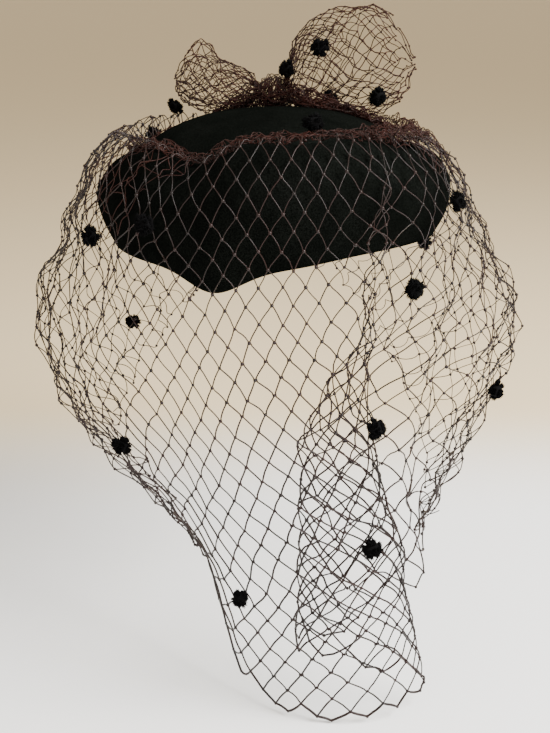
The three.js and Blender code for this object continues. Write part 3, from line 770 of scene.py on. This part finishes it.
class Net:
    """Diamond net over a face. Places on it are counted in half columns and in rows of knots.

    Falls hold the share of the face's fall at each row, for all half columns or for each of them.
    """

    def __init__(self, face, columns, falls, slack, rng):
        self.face = face
        self.columns = columns
        self.rows = len(falls) - 1
        self.falls = np.broadcast_to(falls, (self.rows + 1, 2 * columns))
        self.slack = rng.normal(0, 1, (self.rows + 1, 2 * columns, 3)) * slack
        self.pulls = []

    def blend(self, values, half, row):
        """Values of the four whole places around, blended."""
        i = np.clip(np.floor(row).astype(int), 0, self.rows - 1)
        j = np.floor(half).astype(int)
        shape = np.shape(half) + (1,) * (values.ndim - 2)
        down = (row - i).reshape(shape)
        across = (half - j).reshape(shape)
        j = j % (2 * self.columns)
        k = (j + 1) % (2 * self.columns)
        upper = values[i, j] * (1 - across) + values[i, k] * across
        lower = values[i + 1, j] * (1 - across) + values[i + 1, k] * across
        return upper * (1 - down) + lower * down

    def place(self, half, row):
        """Points of the net: on the face, moved by the slack of the knots around and by the pulls.

        Slack eases in and out between knots. A pull fades both across columns and across rows.
        """
        fall = self.blend(self.falls, half, row)
        points = self.face(half * 180 / self.columns, fall)
        eased_half = np.floor(half) + smoothstep(half % 1, 0, 1)
        eased_row = np.floor(row) + smoothstep(row % 1, 0, 1)
        points = points + self.blend(self.slack, eased_half, eased_row)
        for at_half, at_row, move in self.pulls:
            turn = (half - at_half + self.columns) % (2 * self.columns) - self.columns
            near = fade(turn, 2 * DOT_PULL["columns"]) * fade(row - at_row, DOT_PULL["rows"])
            points = points + move * near[..., None]
        return points

    def nearest(self, angle, fall):
        """Half column and row of the knot nearest to a place, each as an array of one."""
        half = angle * self.columns / 180
        falls = self.falls[:, round(half) % (2 * self.columns)]
        row = round(float(np.interp(fall, falls, np.arange(self.rows + 1))))
        half = 2 * round((half - row % 2) / 2) + row % 2
        return np.array([float(half)]), np.array([float(row)])

    def pull(self, angle, fall, target):
        """Brings the knot nearest to a place to a target point, and its neighbours part of the way."""
        half, row = self.nearest(angle, fall)
        self.pulls.append((half[0], row[0], target - self.place(half, row)[0]))

    def whole(self):
        """Ends of the half columns when all of them reach the last row."""
        return np.full(2 * self.columns, self.rows)

    def threads(self, steps, ends):
        """Two threads for each column, mirror images, down to the higher end of its two half columns.

        Between two rows, at a share t of the way, a thread has swung t + bow / pi * sin(pi t) of half
        a column, so it leaves each knot in an arch and comes steeply to the next. All threads have
        the same number of points.
        """
        start = 2 * np.repeat(np.arange(self.columns), 2)
        side = np.tile([1, -1], self.columns)
        last = np.minimum(ends[start], ends[(start + side) % (2 * self.columns)])[:, None]
        row = last * np.linspace(0, 1, ends.max() * steps + 1)
        whole = np.minimum(row.astype(int), last - 1)
        part = row - whole
        swing = part + STRAND_BOW / np.pi * np.sin(np.pi * part)
        swing = np.where(whole % 2 == 0, swing, 1 - swing)
        return self.place(start[:, None] + side[:, None] * swing, row)

    def knots(self, ends):
        """Places of the knots down to the ends, every second row half a column along."""
        row, column = np.meshgrid(np.arange(ends.max() + 1), np.arange(self.columns), indexing="ij")
        half = 2 * column + row % 2
        kept = row <= ends[half]
        return self.place(half[kept].astype(float), row[kept].astype(float))

    def hem(self, steps, ends):
        """The edge, from end to end along the strands once round, and the half columns on its way.

        Beside a half column that ends several rows higher or lower, it goes one half column into the
        net and out again for every two rows.
        """
        count = 2 * self.columns
        corners = []
        for half in range(count):
            row = ends[half]
            following = ends[(half + 1) % count]
            corners.append((half, row))
            while following > row + 1 and ends[(half + 2) % count] > row + 1:
                corners += [(half + 1, row + 1), (half + 2, row + 2)]
                row += 2
            while following < row - 1 and ends[half - 1] >= row - 1:
                corners += [(half - 1, row - 1), (half, row - 2)]
                row -= 2
        corners.append((count, ends[0]))
        halves, rows = np.array(corners, float).T
        knots = np.arange(len(corners))
        at = np.linspace(0, knots[-1], knots[-1] * steps + 1)
        half = np.interp(at, knots, halves)
        return self.place(half, np.interp(at, knots, rows))[None], half


def half_column_angles(columns):
    """Angles at which a net's half columns stand."""
    return np.arange(2 * columns) * 180 / columns


def step_lengths(paths):
    """Lengths of the steps along paths."""
    return np.linalg.norm(np.diff(paths, axis=-2), axis=-1)


def veil_rows(columns):
    """Falls of the veil's rows at each half column, and the row at which each one ends.

    Rows are counted down the face's own length, so a shorter side of the veil has fewer. Ends are
    even at even half columns and odd at odd ones, where the diamonds have their knots.
    """
    fall = np.linspace(0, 1, VEIL_SAMPLES)
    half = np.arange(2 * columns)
    grid = veil_face(half_column_angles(columns)[:, None], fall[None])
    steps = step_lengths(grid) / np.interp(fall[1:], VEIL_PITCH["fall"], VEIL_PITCH["pitch"])
    rows = np.concatenate([np.zeros((len(half), 1)), np.cumsum(steps, 1)], 1)
    rows = np.mean([np.roll(rows, k, 0) for k in range(-ROW_EVENING, ROW_EVENING + 1)], 0)
    ends = 2 * np.floor((rows[:, -1] + HEM_ALLOWANCE - half % 2) / 2).astype(int) + half % 2
    whole = np.arange(ends.max() + 2)
    falls = [np.interp(whole, row, fall) for row in rows]
    return np.stack(falls, 1), ends


def even_falls(face, angle, pitch):
    """Falls of a net's rows: the face's line at an angle is walked from the top, a pitch at a time."""
    fall = np.linspace(0, 1, LINE_SAMPLES)
    line = face(np.full_like(fall, angle), fall)
    rows = np.concatenate([[0], np.cumsum(step_lengths(line) / pitch)])
    count = int(round(rows[-1]))
    return np.interp(np.linspace(0, rows[-1], count + 1), rows, fall)


# Materials


def set_inputs(node, values):
    """Sets a node's inputs, found by name or number."""
    for socket, value in values.items():
        node.inputs[socket].default_value = value


def new_node(tree, kind, inputs=None, **settings):
    """Shader node of a kind, with its settings and then its inputs set."""
    node = tree.nodes.new(f"ShaderNode{kind}")
    for name, value in settings.items():
        setattr(node, name, value)
    set_inputs(node, inputs or {})
    return node


def join(tree, *links):
    """Links nodes; a link is a node, its output, another node and its input."""
    for start, output, end, socket in links:
        tree.links.new(start.outputs[output], end.inputs[socket])


def noise_node(tree, detail, roughness):
    """Noise over the piece's own coordinates."""
    noise = new_node(tree, "TexNoise", {"Detail": detail, "Roughness": roughness})
    join(tree, (new_node(tree, "TexCoord"), "Object", noise, "Vector"))
    return noise


def mix_node(tree, first, second):
    """Blend of two colours."""
    return new_node(tree, "Mix", {"A": (*first, 1), "B": (*second, 1)}, data_type="RGBA")


def new_group(name, inputs):
    """Shader node group with number inputs and a tone and a height for outputs, and its end nodes."""
    group = bpy.data.node_groups.new(name, "ShaderNodeTree")
    for socket, value in inputs.items():
        made = group.interface.new_socket(socket, in_out="INPUT", socket_type="NodeSocketFloat")
        made.default_value = value
    for socket in ("Tone", "Height"):
        group.interface.new_socket(socket, in_out="OUTPUT", socket_type="NodeSocketFloat")
    return group, group.nodes.new("NodeGroupInput"), group.nodes.new("NodeGroupOutput")


def nap_group():
    """Nap of felt or pile: fine fibres for the height, broad soft patches for the tone."""
    group, start, end = new_group("nap", {"Fibre Scale": 1400, "Patch Scale": 45})
    fibre = noise_node(group, detail=6, roughness=0.7)
    patch = noise_node(group, detail=4, roughness=0.6)
    spread = new_node(group, "MapRange", {"From Min": 0.35, "From Max": 0.68})
    mixed = new_node(group, "Math", operation="MULTIPLY")
    join(
        group,
        (start, "Fibre Scale", fibre, "Scale"),
        (start, "Patch Scale", patch, "Scale"),
        (fibre, "Fac", spread, "Value"),
        (spread, "Result", mixed, 0),
        (patch, "Fac", mixed, 1),
        (mixed, "Value", end, "Tone"),
        (fibre, "Fac", end, "Height"),
    )
    return group


def twist_group():
    """Twisted thread: a slow change of dye along it for the tone, fine plies for the height."""
    group, start, end = new_group("twist", {"Dye Scale": 60, "Ply Scale": 2500})
    dye = noise_node(group, detail=3, roughness=0.5)
    ply = noise_node(group, detail=2, roughness=0.5)
    spread = new_node(group, "MapRange", {"From Min": 0.35, "From Max": 0.65})
    join(
        group,
        (start, "Dye Scale", dye, "Scale"),
        (start, "Ply Scale", ply, "Scale"),
        (dye, "Fac", spread, "Value"),
        (spread, "Result", end, "Tone"),
        (ply, "Fac", end, "Height"),
    )
    return group


GROUPS = {"nap": nap_group, "twist": twist_group}


def new_material(name):
    """Material, its node tree and its shader."""
    material = bpy.data.materials.new(name)
    material.use_nodes = True
    return material, material.node_tree, material.node_tree.nodes["Principled BSDF"]


def cloth_material(name, group, scales, colours, bump, finish):
    """Cloth: a group's tone blends two colours, its height gives the bump, and finish sets sockets.

    The material and the group are made the first time they are asked for.
    """
    made = bpy.data.materials.get(name)
    if made:
        return made
    material, tree, shader = new_material(name)
    shared = bpy.data.node_groups.get(group) or GROUPS[group]()
    pattern = new_node(tree, "Group", scales, node_tree=shared)
    colour = mix_node(tree, *colours)
    relief = new_node(tree, "Bump", bump)
    set_inputs(shader, finish)
    join(
        tree,
        (pattern, "Tone", colour, "Factor"),
        (colour, "Result", shader, "Base Color"),
        (pattern, "Height", relief, "Height"),
        (relief, "Normal", shader, "Normal"),
    )
    return material


def felt_material(felt):
    """Black wool felt: matt, with a short nap; the grey-green of its lit fibres is painted sheen,
    blended into its colour.
    """
    finish = {
        "Roughness": 1,
        "Specular IOR Level": 0,
        "Sheen Weight": felt.sheen,
        "Sheen Roughness": 0.45,
        "Sheen Tint": (*felt.nap_sheen_colour, 1),
    }
    scales = {"Fibre Scale": felt.fibre_scale, "Patch Scale": 45}
    bump = {"Strength": 0.5, "Distance": 0.0008}
    # The nap's noise blends painted sheen, the grey-green of lit fibres, into the black felt's colour
    return cloth_material("wool_felt", "nap", scales, (felt.colour, felt.nap_sheen_colour), bump, finish)


def thread_material(name, colours, gloss):
    """Net thread: dark brown with redder stretches, more or less glossy."""
    finish = {"Roughness": 0.35, "Specular IOR Level": gloss}
    scales = {"Dye Scale": 60, "Ply Scale": 2500}
    bump = {"Strength": 0.3, "Distance": 0.0002}
    return cloth_material(name, "twist", scales, colours, bump, finish)


def chenille_material(dots):
    """Black chenille: matt cut pile."""
    finish = {"Roughness": 0.9, "Specular IOR Level": 0.05}
    scales = {"Fibre Scale": 2500, "Patch Scale": 200}
    bump = {"Strength": 0.4, "Distance": 0.0004}
    return cloth_material("chenille", "nap", scales, (dots.colour, dots.tip_colour), bump, finish)


# Settings


SETTING_KINDS = {
    "colour": (bpy.props.FloatVectorProperty, {"subtype": "COLOR", "min": 0, "max": 1}),
    "length": (bpy.props.FloatProperty, {"unit": "LENGTH", "min": 0, "precision": 5}),
    "power": (bpy.props.FloatProperty, {"unit": "POWER", "min": 0}),
    "share": (bpy.props.FloatProperty, {"subtype": "FACTOR", "min": 0, "max": 1}),
    "number": (bpy.props.FloatProperty, {"min": 0}),
    "count": (bpy.props.IntProperty, {"min": 3}),
}


def setting(kind, name, description, default):
    """A value that a user would change; lengths are in metres."""
    make, limits = SETTING_KINDS[kind]
    return make(name=name, description=description, default=default, **limits)


class FeltSettings(bpy.types.PropertyGroup):
    """Felt of the crown and cuff."""

    colour: setting("colour", "Felt", "Colour between the fibres", (0.0008, 0.001, 0.0008))
    # Painted sheen: grey-green of the lit nap, painted into the felt's colour and also tinting its
    # sheen
    nap_sheen_colour: setting("colour", "Nap", "Colour of the lit fibres", (0.0095, 0.0108, 0.009))
    sheen: setting("share", "Sheen", "Soft light on the nap", 0.01)
    fibre_scale: setting("number", "Fibre scale", "Fineness of the nap, waves a metre", 1400)
    wall: setting("length", "Wall", "Thickness of the felt", FELT_WALL * MM)


class NetSettings(bpy.types.PropertyGroup):
    """Thread and diamonds of the net."""

    thread: setting("length", "Thread", "Diameter of the thread", 0.0005)
    frizz: setting("length", "Frizz", "Diameter of the drawn-up threads", 0.0004)
    bow_thread: setting("length", "Bow thread", "Diameter of the thread in the bow", 0.0005)
    hem_thread: setting("length", "Hem thread", "Diameter of the thread along the hem", 0.0013)
    knot: setting("length", "Knot", "Diameter of a knot", 0.0018)
    slack: setting("length", "Slack", "How far knots stray from even rows", 0.00035)
    columns: setting("count", "Columns", "Diamonds round the veil", 64)
    strand_steps: setting("count", "Strand steps", "Straight pieces of a strand between knots", 4)
    colour: setting("colour", "Thread", "Colour of the thread", (0.008, 0.005, 0.0042))
    red_colour: setting("colour", "Redder thread", "Colour of redder dye", (0.017, 0.007, 0.0055))
    gather_colour: setting("colour", "Gathers", "Colour of the gathered net", (0.028, 0.009, 0.0064))
    gloss: setting("share", "Gloss", "Gloss of the hanging thread", 0.22)
    gather_gloss: setting("share", "Gather gloss", "Gloss of the gathered net", 0.1)


class DotSettings(bpy.types.PropertyGroup):
    """Chenille dots."""

    radius: setting("length", "Radius", "Reach of the pile from a dot's middle", 0.0056)
    height: setting("length", "Height", "Height of a dot over the net", 0.0085)
    fibre: setting("length", "Fibre", "Thickness of a lock's fibre at its foot", 0.0007)
    fibres: setting("count", "Fibres", "Fibres in a dot", 420)
    locks: setting("count", "Locks", "Locks in a dot", 13)
    colour: setting("colour", "Pile", "Colour between the fibres", (0.0012, 0.0012, 0.0012))
    tip_colour: setting("colour", "Tips", "Colour of the fibre tips", (0.004, 0.0036, 0.004))


class StageSettings(bpy.types.PropertyGroup):
    """Floor and light."""

    floor: setting("colour", "Floor", "Colour of the floor near the hat", (0.9, 0.89, 0.87))
    distance: setting("colour", "Distance", "Colour of the floor far away", (0.76, 0.61, 0.38))
    air: setting("colour", "Air", "Colour of the light from all round", (0.95, 0.88, 0.77))
    air_strength: setting("number", "Air strength", "Light from all round", 0.85)
    key_power: setting("power", "Key", "Power of the large light on the right", 50)
    fill_power: setting("power", "Fill", "Power of the light in front", 6)


# Operators


def felt_sides(face, grid, wall):
    """Grid of points once round a face and along it, and a second one a wall behind its normal."""
    steps, rows = grid
    angle = np.arange(steps)[None] * 360 / steps
    along = np.linspace(0, 1, rows + 1)[:, None]
    outer = face(angle, along)
    return outer, outer - outward(face, angle, along) * wall


class HAT_OT_crown(bpy.types.Operator):
    """Felt crown: a dome of scaled ellipses with a wall under it"""

    bl_idname = "hat.crown"
    bl_label = "Felt crown"

    def execute(self, context):
        felt = context.scene.hat_felt
        wall = felt.wall / MM
        outer, inner = felt_sides(crown_face, CROWN_GRID, wall)
        top = np.array([0, 0, CROWN_HEIGHT])
        mesh = shell_mesh(outer[1:], inner[1:], top, top - [0, 0, wall])
        new_piece("crown_felt", mesh, felt_material(felt), ["crown"])
        return {"FINISHED"}


class HAT_OT_cuff(bpy.types.Operator):
    """Felt cuff: a rounded band turned up round the crown"""

    bl_idname = "hat.cuff"
    bl_label = "Felt cuff"

    def execute(self, context):
        felt = context.scene.hat_felt
        # The cuff's shares run up, so its normal points in
        outer, inner = felt_sides(cuff_face, CUFF_GRID, -felt.wall / MM)
        mesh = shell_mesh(outer[::-1], inner[::-1])
        new_piece("cuff_felt", mesh, felt_material(felt), ["cuff"])
        return {"FINISHED"}


def net_materials(net):
    """Materials of the hanging net and of the gathered net."""
    hanging = thread_material("net_thread", (net.colour, net.red_colour), net.gloss)
    colours = (net.red_colour, net.gather_colour)
    return hanging, thread_material("gathered_thread", colours, net.gather_gloss)


def radius_of(diameter):
    """Radius in millimetres from a diameter in metres."""
    return diameter / MM / 2


def thread_piece(name, paths, radius, material, nodes=()):
    """Piece of thread along paths."""
    return new_piece(name, tube_mesh(paths, radius, THREAD_SIDES), material, nodes)


def knot_piece(name, places, diameter, shares, material, rng):
    """Piece of knots at places, whose sizes vary between two shares of a diameter."""
    sizes = radius_of(diameter) * rng.uniform(*shares, len(places))
    return new_piece(name, beads_mesh(places, sizes), material)


def veil_net(net):
    """The veil's net, with its knots brought to the dots, and the ends of its half columns."""
    falls, ends = veil_rows(net.columns)
    slack = net.slack / MM * (1 + looseness(half_column_angles(net.columns)))[:, None]
    made = Net(slack_veil, net.columns, falls, slack, np.random.default_rng(NET_SEED))
    for carrier, angle, fall in DOT_PLACES:
        if carrier == "veil":
            made.pull(angle, fall, veil_face(angle, fall))
    return made, ends


class HAT_OT_veil(bpy.types.Operator):
    """Veil: fine diamond net with knots, a thicker zigzag hem and a few cut ends"""

    bl_idname = "hat.veil"
    bl_label = "Net veil"

    def execute(self, context):
        net = context.scene.hat_net
        hanging, _ = net_materials(net)
        veil, ends = veil_net(net)
        threads = veil.threads(net.strand_steps, ends)
        radius = self.radius(threads, net)
        piece = thread_piece("veil_net", threads, radius, hanging, ["veil"])
        rng = np.random.default_rng(NET_SEED)
        knots = knot_piece("veil_knots", veil.knots(ends), net.knot, VEIL_KNOT_SIZES, hanging, rng)
        path, half = veil.hem(net.strand_steps, ends)
        thick = bell(half * 180 / net.columns, HEM_THICK)[None, :, None, None]
        thin = self.radius(path, net)
        hem_radius = thin + (radius_of(net.hem_thread) - thin) * thick
        hem = new_piece("veil_hem", tube_mesh(path, hem_radius, HEM_SIDES), hanging)
        loose = thread_piece("loose_ends", self.loose_ends(veil), radius_of(net.thread), hanging)
        return {"FINISHED"}

    def radius(self, paths, net):
        """Radius of the thread at each point of paths, larger low on the veil's front."""
        low = smoothstep(paths[..., 2], *LOW_THREAD_HEIGHTS)
        stouter = 1 + bell(angle_of(paths), LOW_THREAD) * low
        return (radius_of(net.thread) * stouter)[..., None, None]

    def loose_ends(self, veil):
        """Short curved cut ends: each leaves its knot and bends towards where it points."""
        share = np.linspace(0, 1, LOOSE_POINTS)[:, None]
        paths = []
        for end in LOOSE_ENDS:
            start = veil.place(*veil.nearest(end["angle"], end["fall"]))[0]
            reach = np.array(end["reach"], float)
            bend = np.cross(reach, [0, 0, 1]) * LOOSE_BEND
            paths.append(start + reach * share + bend * np.sin(np.pi * share))
        return np.stack(paths)


class HAT_OT_gathered_edge(bpy.types.Operator):
    """Gathered edge: net drawn up into a ruched ring, with crumpled net over it"""

    bl_idname = "hat.gathered_edge"
    bl_label = "Gathered edge"

    def execute(self, context):
        net = context.scene.hat_net
        _, gathered = net_materials(net)
        rng = np.random.default_rng(NET_SEED)
        radius = radius_of(net.frizz)
        falls = np.linspace(0, 1, RUCHE["rows"] + 1)[:, None]
        ruche = Net(ruche_face, RUCHE["columns"], falls, RUCHE["stray"], rng)
        ring = ruche.threads(net.strand_steps, ruche.whole())
        piece = thread_piece("gathered_edge_net", ring, radius, gathered, ["gathered_edge"])
        angle = half_column_angles(CRUMPLE_COLUMNS)
        stray = round_hat(CRUMPLE, "stray", angle)[:, None]
        falls = np.linspace(0, 1, CRUMPLE_ROWS + 1)[:, None]
        crumple = Net(gather_band, CRUMPLE_COLUMNS, falls, stray, rng)
        ends = np.clip(np.round(round_hat(CRUMPLE, "rows", angle)).astype(int), 1, CRUMPLE_ROWS)
        threads = crumple.threads(net.strand_steps, ends)
        crumpled = thread_piece("gathered_edge_crumple", threads, radius, gathered)
        return {"FINISHED"}


class HAT_OT_bow(bpy.types.Operator):
    """Bow: two loops of net, the wound knot between them and the net bunched under it"""

    bl_idname = "hat.bow"
    bl_label = "Net bow"

    def execute(self, context):
        net = context.scene.hat_net
        _, gathered = net_materials(net)
        rng = np.random.default_rng(NET_SEED)
        radius = radius_of(net.bow_thread)
        for name, loop in BOW_LOOPS.items():
            made = bow_net(name, 1, loop["columns"], rng)
            every_second = np.arange(2 * made.columns) // 2 % 2
            ends = made.rows - BOW_TIP_ROWS * every_second
            threads = made.threads(net.strand_steps, ends)
            piece = thread_piece(f"{name}_net", threads, radius, gathered, [name])
            places = made.knots(ends)
            knots = knot_piece(f"{name}_knots", places, net.knot, BOW_KNOT_SIZES, gathered, rng)
            layer, reach, columns = loop["inner"].values()
            inner_ends = np.full(2 * columns, int(reach * made.rows))
            inner_threads = bow_net(name, layer, columns, rng).threads(net.strand_steps, inner_ends)
            inner = thread_piece(f"{name}_inner", inner_threads, radius, gathered)
        wraps = self.wraps(rng)
        piece = thread_piece("bow_knot_net", wraps, radius, gathered, ["bow_knot"])
        layers = [self.base(layer, net, rng) for layer in BOW_BASE["layers"]]
        base = thread_piece("bow_base_net", np.concatenate(layers), radius, gathered)
        return {"FINISHED"}

    def base(self, layer, net, rng):
        """Threads of one layer of the net that is bunched on the crown under the bow."""
        falls = even_falls(partial(bow_base_face, layer=1), BOW_LINE, BOW_PITCH)[:, None]
        face = partial(bow_base_face, layer=layer)
        made = Net(face, BOW_BASE["columns"], falls, BOW_BASE["stray"], rng)
        return made.threads(net.strand_steps, made.whole())

    def wraps(self, rng):
        """Turns of thread round the knot: ellipses across the bow, each at its own tilt and size."""
        each = (KNOT_WRAPS["count"], 1)
        turn = np.linspace(0, 2 * np.pi, KNOT_WRAPS["steps"] + 1)[None]
        along = rng.uniform(-1, 1, each)
        size = np.sqrt(1 - KNOT_WRAPS["taper"] * along**2) * rng.uniform(*KNOT_WRAPS["sizes"], each)
        tilt = rng.uniform(-KNOT_WRAPS["tilt"], KNOT_WRAPS["tilt"], each)
        phase = rng.uniform(0, 2 * np.pi, each)
        wave = 1 + KNOT_WRAPS["wave"] * np.sin(KNOT_WRAPS["waves"] * turn + phase)
        x = BOW_KNOT["half_width"] * (KNOT_WRAPS["spread"] * along + tilt * np.sin(turn + phase))
        y = BOW_KNOT["half_depth"] * size * wave * np.cos(turn)
        z = BOW_KNOT["half_height"] * size * wave * np.sin(turn)
        points = np.array(BOW_KNOT["place"]) + np.stack(np.broadcast_arrays(x, y, z), -1)
        return clear_of_crown(points, SEAT_GAP)


def bow_net(name, layer, columns, rng):
    """Net of one layer of a loop of the bow; the outer layer's knots are brought to the dots."""
    loop = BOW_LOOPS[name]
    plain = partial(loop_face, loop)
    crumpled = partial(crumpled_loop, loop, layer=layer)
    falls = even_falls(plain, BOW_LINE, BOW_PITCH)[:, None]
    made = Net(crumpled, columns, falls, BOW_SLACK, rng)
    for carrier, angle, along in DOT_PLACES:
        if carrier == name and layer == 1:
            made.pull(angle, along, plain(np.array(float(angle)), np.array(along)))
    return made


def dot_seat(carrier, angle, share):
    """Foot and axis of a dot on its net: just clear of the net, along its normal."""
    angle = np.array(float(angle))
    share = np.array(share)
    face = veil_face if carrier == "veil" else partial(loop_face, BOW_LOOPS[carrier])
    axis = outward(face, angle, share)
    return face(angle, share) + axis * (NET_WALL / 2 + SEAT_GAP), axis


def gathered_dot_seat():
    """Foot and axis of the dot that stands on the gathered edge."""
    foot = gather_point(np.array(float(GATHER_DOT_ANGLE)), 0, 1 + GATHER_RUCHE_DEPTH)
    return foot + [0, 0, SEAT_GAP], np.array([0.0, 0, 1])


class HAT_OT_dots(bpy.types.Operator):
    """Chenille dots: tufts of cut pile tied to the net"""

    bl_idname = "hat.dots"
    bl_label = "Chenille dots"

    def execute(self, context):
        dots = context.scene.hat_dots
        material = chenille_material(dots)
        rng = np.random.default_rng(NET_SEED)
        seats = [dot_seat(*place) for place in DOT_PLACES] + [gathered_dot_seat()]
        for number, (foot, axis) in enumerate(seats, 1):
            mesh = self.tuft(foot, axis, dots, rng)
            new_piece(f"tuft_{number:02d}", mesh, material, [f"dot_{number:02d}"])
        return {"FINISHED"}

    def tuft(self, foot, axis, dots, rng):
        """Core ball and spikes of pile, evenly spread and drawn together into locks.

        Directions follow the golden spiral; each is drawn towards the nearest lock's middle, and a
        fibre is shorter the further it stands from it.
        """
        radius = dots.radius / MM
        height = dots.height / MM
        spread = self.spiral(dots.fibres)
        spin = rng.uniform(0, 2 * np.pi)
        locks = unit(self.spiral(dots.locks) + rng.normal(0, TUFT["stray"], (dots.locks, 3)))
        sizes = rng.uniform(*TUFT["locks"], dots.locks)
        near = np.argmax(spread @ locks.T, 1)
        closeness = np.sum(spread * locks[near], 1)
        way = unit(spread + TUFT["drawn"] * locks[near])
        kept = 1 - TUFT["shortened"] + TUFT["shortened"] * closeness
        reach = radius * sizes[near] * kept * rng.uniform(*TUFT["lengths"], len(way))
        level = unit(np.cross(way, TUFT["slant"]))
        upright = np.cross(way, level)
        turn = np.arange(3) * 2 * np.pi / 3
        ring = level[:, None] * np.cos(turn)[:, None] + upright[:, None] * np.sin(turn)[:, None]
        thick = ring * radius_of(dots.fibre)
        foot_ring = way[:, None] * TUFT["foot"] * radius + thick
        neck_ring = way[:, None] * (TUFT["neck"] * reach)[:, None, None] + thick / TUFT["taper"]
        tips = (way * reach[:, None])[:, None]
        points = np.concatenate([foot_ring, neck_ring, tips], 1)
        start = (np.arange(len(way)) * points.shape[1])[:, None]
        walls = [(0, 1, 4, 3), (1, 2, 5, 4), (2, 0, 3, 5)]
        caps = [(0, 2, 1), (3, 4, 6), (4, 5, 6), (5, 3, 6)]
        faces = [row.tolist() for face in walls + caps for row in start + np.array(face)]
        core, core_faces = ball(TUFT["splits"])
        faces += (core_faces + points.size // 3).tolist()
        local = np.concatenate([points.reshape(-1, 3), core * TUFT["core"] * radius])
        squash = height / 2 / radius
        side = unit(np.cross(axis, [math.cos(spin), math.sin(spin), TUFT["lean"]]))
        basis = np.stack([side, np.cross(axis, side), axis])
        local = local * [1, 1, squash] + [0, 0, height / 2]
        return foot + local @ basis, faces

    def spiral(self, count):
        """Directions spread evenly over a ball along the golden spiral."""
        k = np.arange(count) + 0.5
        up = 1 - 2 * k / count
        turn = np.pi * (1 + math.sqrt(5)) * k
        flat = np.sqrt(1 - up**2)
        return np.stack([flat * np.cos(turn), flat * np.sin(turn), up], 1)


def floor_material(stage):
    """Pale floor that turns warmer behind the hat."""
    material, tree, shader = new_material("studio_floor")
    turn = math.radians(CAMERA_AZIMUTH)
    behind = (-math.sin(turn), math.cos(turn), 0)
    where = new_node(tree, "TexCoord")
    away = new_node(tree, "VectorMath", {1: behind}, operation="DOT_PRODUCT")
    ends = {"From Min": FLOOR["pale"], "From Max": FLOOR["warm"]}
    share = new_node(tree, "MapRange", ends, interpolation_type="SMOOTHSTEP")
    colour = mix_node(tree, stage.floor, stage.distance)
    set_inputs(shader, {"Roughness": 0.8, "Specular IOR Level": 0.2})
    join(
        tree,
        (where, "Object", away, 0),
        (away, "Value", share, "Value"),
        (share, "Result", colour, "Factor"),
        (colour, "Result", shader, "Base Color"),
    )
    return material


class HAT_OT_stage(bpy.types.Operator):
    """Stage: pale floor, soft light and the camera of the photograph"""

    bl_idname = "hat.stage"
    bl_label = "Studio"

    def execute(self, context):
        stage = context.scene.hat_stage
        self.floor(stage)
        self.air(context.scene, stage)
        self.light("key_light", stage.key_power)
        self.light("fill_light", stage.fill_power)
        context.scene.camera = self.camera()
        return {"FINISHED"}

    def floor(self, stage):
        """Disc under the hem."""
        radius = FLOOR["radius"]
        steps = FLOOR["steps"]
        turn = np.arange(steps) * 2 * np.pi / steps
        level = CAD_BOX[0][2] - FLOOR["gap"]
        points = np.stack([radius * np.cos(turn), radius * np.sin(turn), np.full(steps, level)], 1)
        mesh_object("floor", points, [list(range(steps))], floor_material(stage))

    def air(self, scene, stage):
        """Even light from all round."""
        world = bpy.data.worlds.new("studio_air")
        world.use_nodes = True
        background = world.node_tree.nodes["Background"]
        set_inputs(background, {"Color": (*stage.air, 1), "Strength": stage.air_strength})
        scene.world = world

    def light(self, name, power):
        """Square soft light that points at the hat."""
        x, y, z = LIGHTS[name]["place"]
        data = bpy.data.lights.new(name, "AREA")
        data.size = LIGHTS[name]["size"]
        data.energy = power
        lamp = new_object(name, data)
        lamp.location = (x, y, z)
        lamp.rotation_euler = (math.atan2(math.hypot(x, y), z), 0, math.atan2(x, -y))

    def camera(self):
        """Camera at the photograph's angle."""
        data = bpy.data.cameras.new("camera")
        data.sensor_width = SENSOR_MM
        data.lens = SENSOR_MM * CAMERA_FOCUS_PX / IMAGE_HEIGHT_PX
        data.clip_start = CAMERA_NEAR
        camera = new_object("camera", data)
        turn = math.radians(CAMERA_AZIMUTH)
        away = CAMERA_DISTANCE
        camera.location = (away * math.sin(turn), -away * math.cos(turn), CAMERA_HEIGHT)
        camera.rotation_euler = (math.radians(90 - CAMERA_PITCH), 0, turn)
        return camera


OPERATORS = (
    HAT_OT_crown,
    HAT_OT_cuff,
    HAT_OT_veil,
    HAT_OT_gathered_edge,
    HAT_OT_bow,
    HAT_OT_dots,
    HAT_OT_stage,
)
SETTINGS = {
    "hat_felt": FeltSettings,
    "hat_net": NetSettings,
    "hat_dots": DotSettings,
    "hat_stage": StageSettings,
}


class HAT_PT_panel(bpy.types.Panel):
    """Lists the hat's settings and pieces"""

    bl_idname = "HAT_PT_panel"
    bl_label = "Cocktail hat"
    bl_space_type = "VIEW_3D"
    bl_region_type = "UI"
    bl_category = "Hat"

    def draw(self, context):
        for name, group in SETTINGS.items():
            box = self.layout.box()
            box.label(text=group.__doc__)
            for entry in group.__annotations__:
                box.prop(getattr(context.scene, name), entry)
        for operator in OPERATORS:
            self.layout.operator(operator.bl_idname)


def register():
    """Makes the settings, operators and panel known to Blender."""
    for name, group in SETTINGS.items():
        bpy.utils.register_class(group)
        setattr(bpy.types.Scene, name, bpy.props.PointerProperty(type=group))
    for operator in OPERATORS:
        bpy.utils.register_class(operator)
    bpy.utils.register_class(HAT_PT_panel)


def unregister():
    """Takes them away again."""
    bpy.utils.unregister_class(HAT_PT_panel)
    for operator in reversed(OPERATORS):
        bpy.utils.unregister_class(operator)
    for name, group in SETTINGS.items():
        delattr(bpy.types.Scene, name)
        bpy.utils.unregister_class(group)


def main():
    """Builds every piece in order."""
    register()
    bpy.ops.hat.crown()
    bpy.ops.hat.cuff()
    bpy.ops.hat.veil()
    bpy.ops.hat.gathered_edge()
    bpy.ops.hat.bow()
    bpy.ops.hat.dots()
    bpy.ops.hat.stage()


if __name__ == "__main__":
    main()
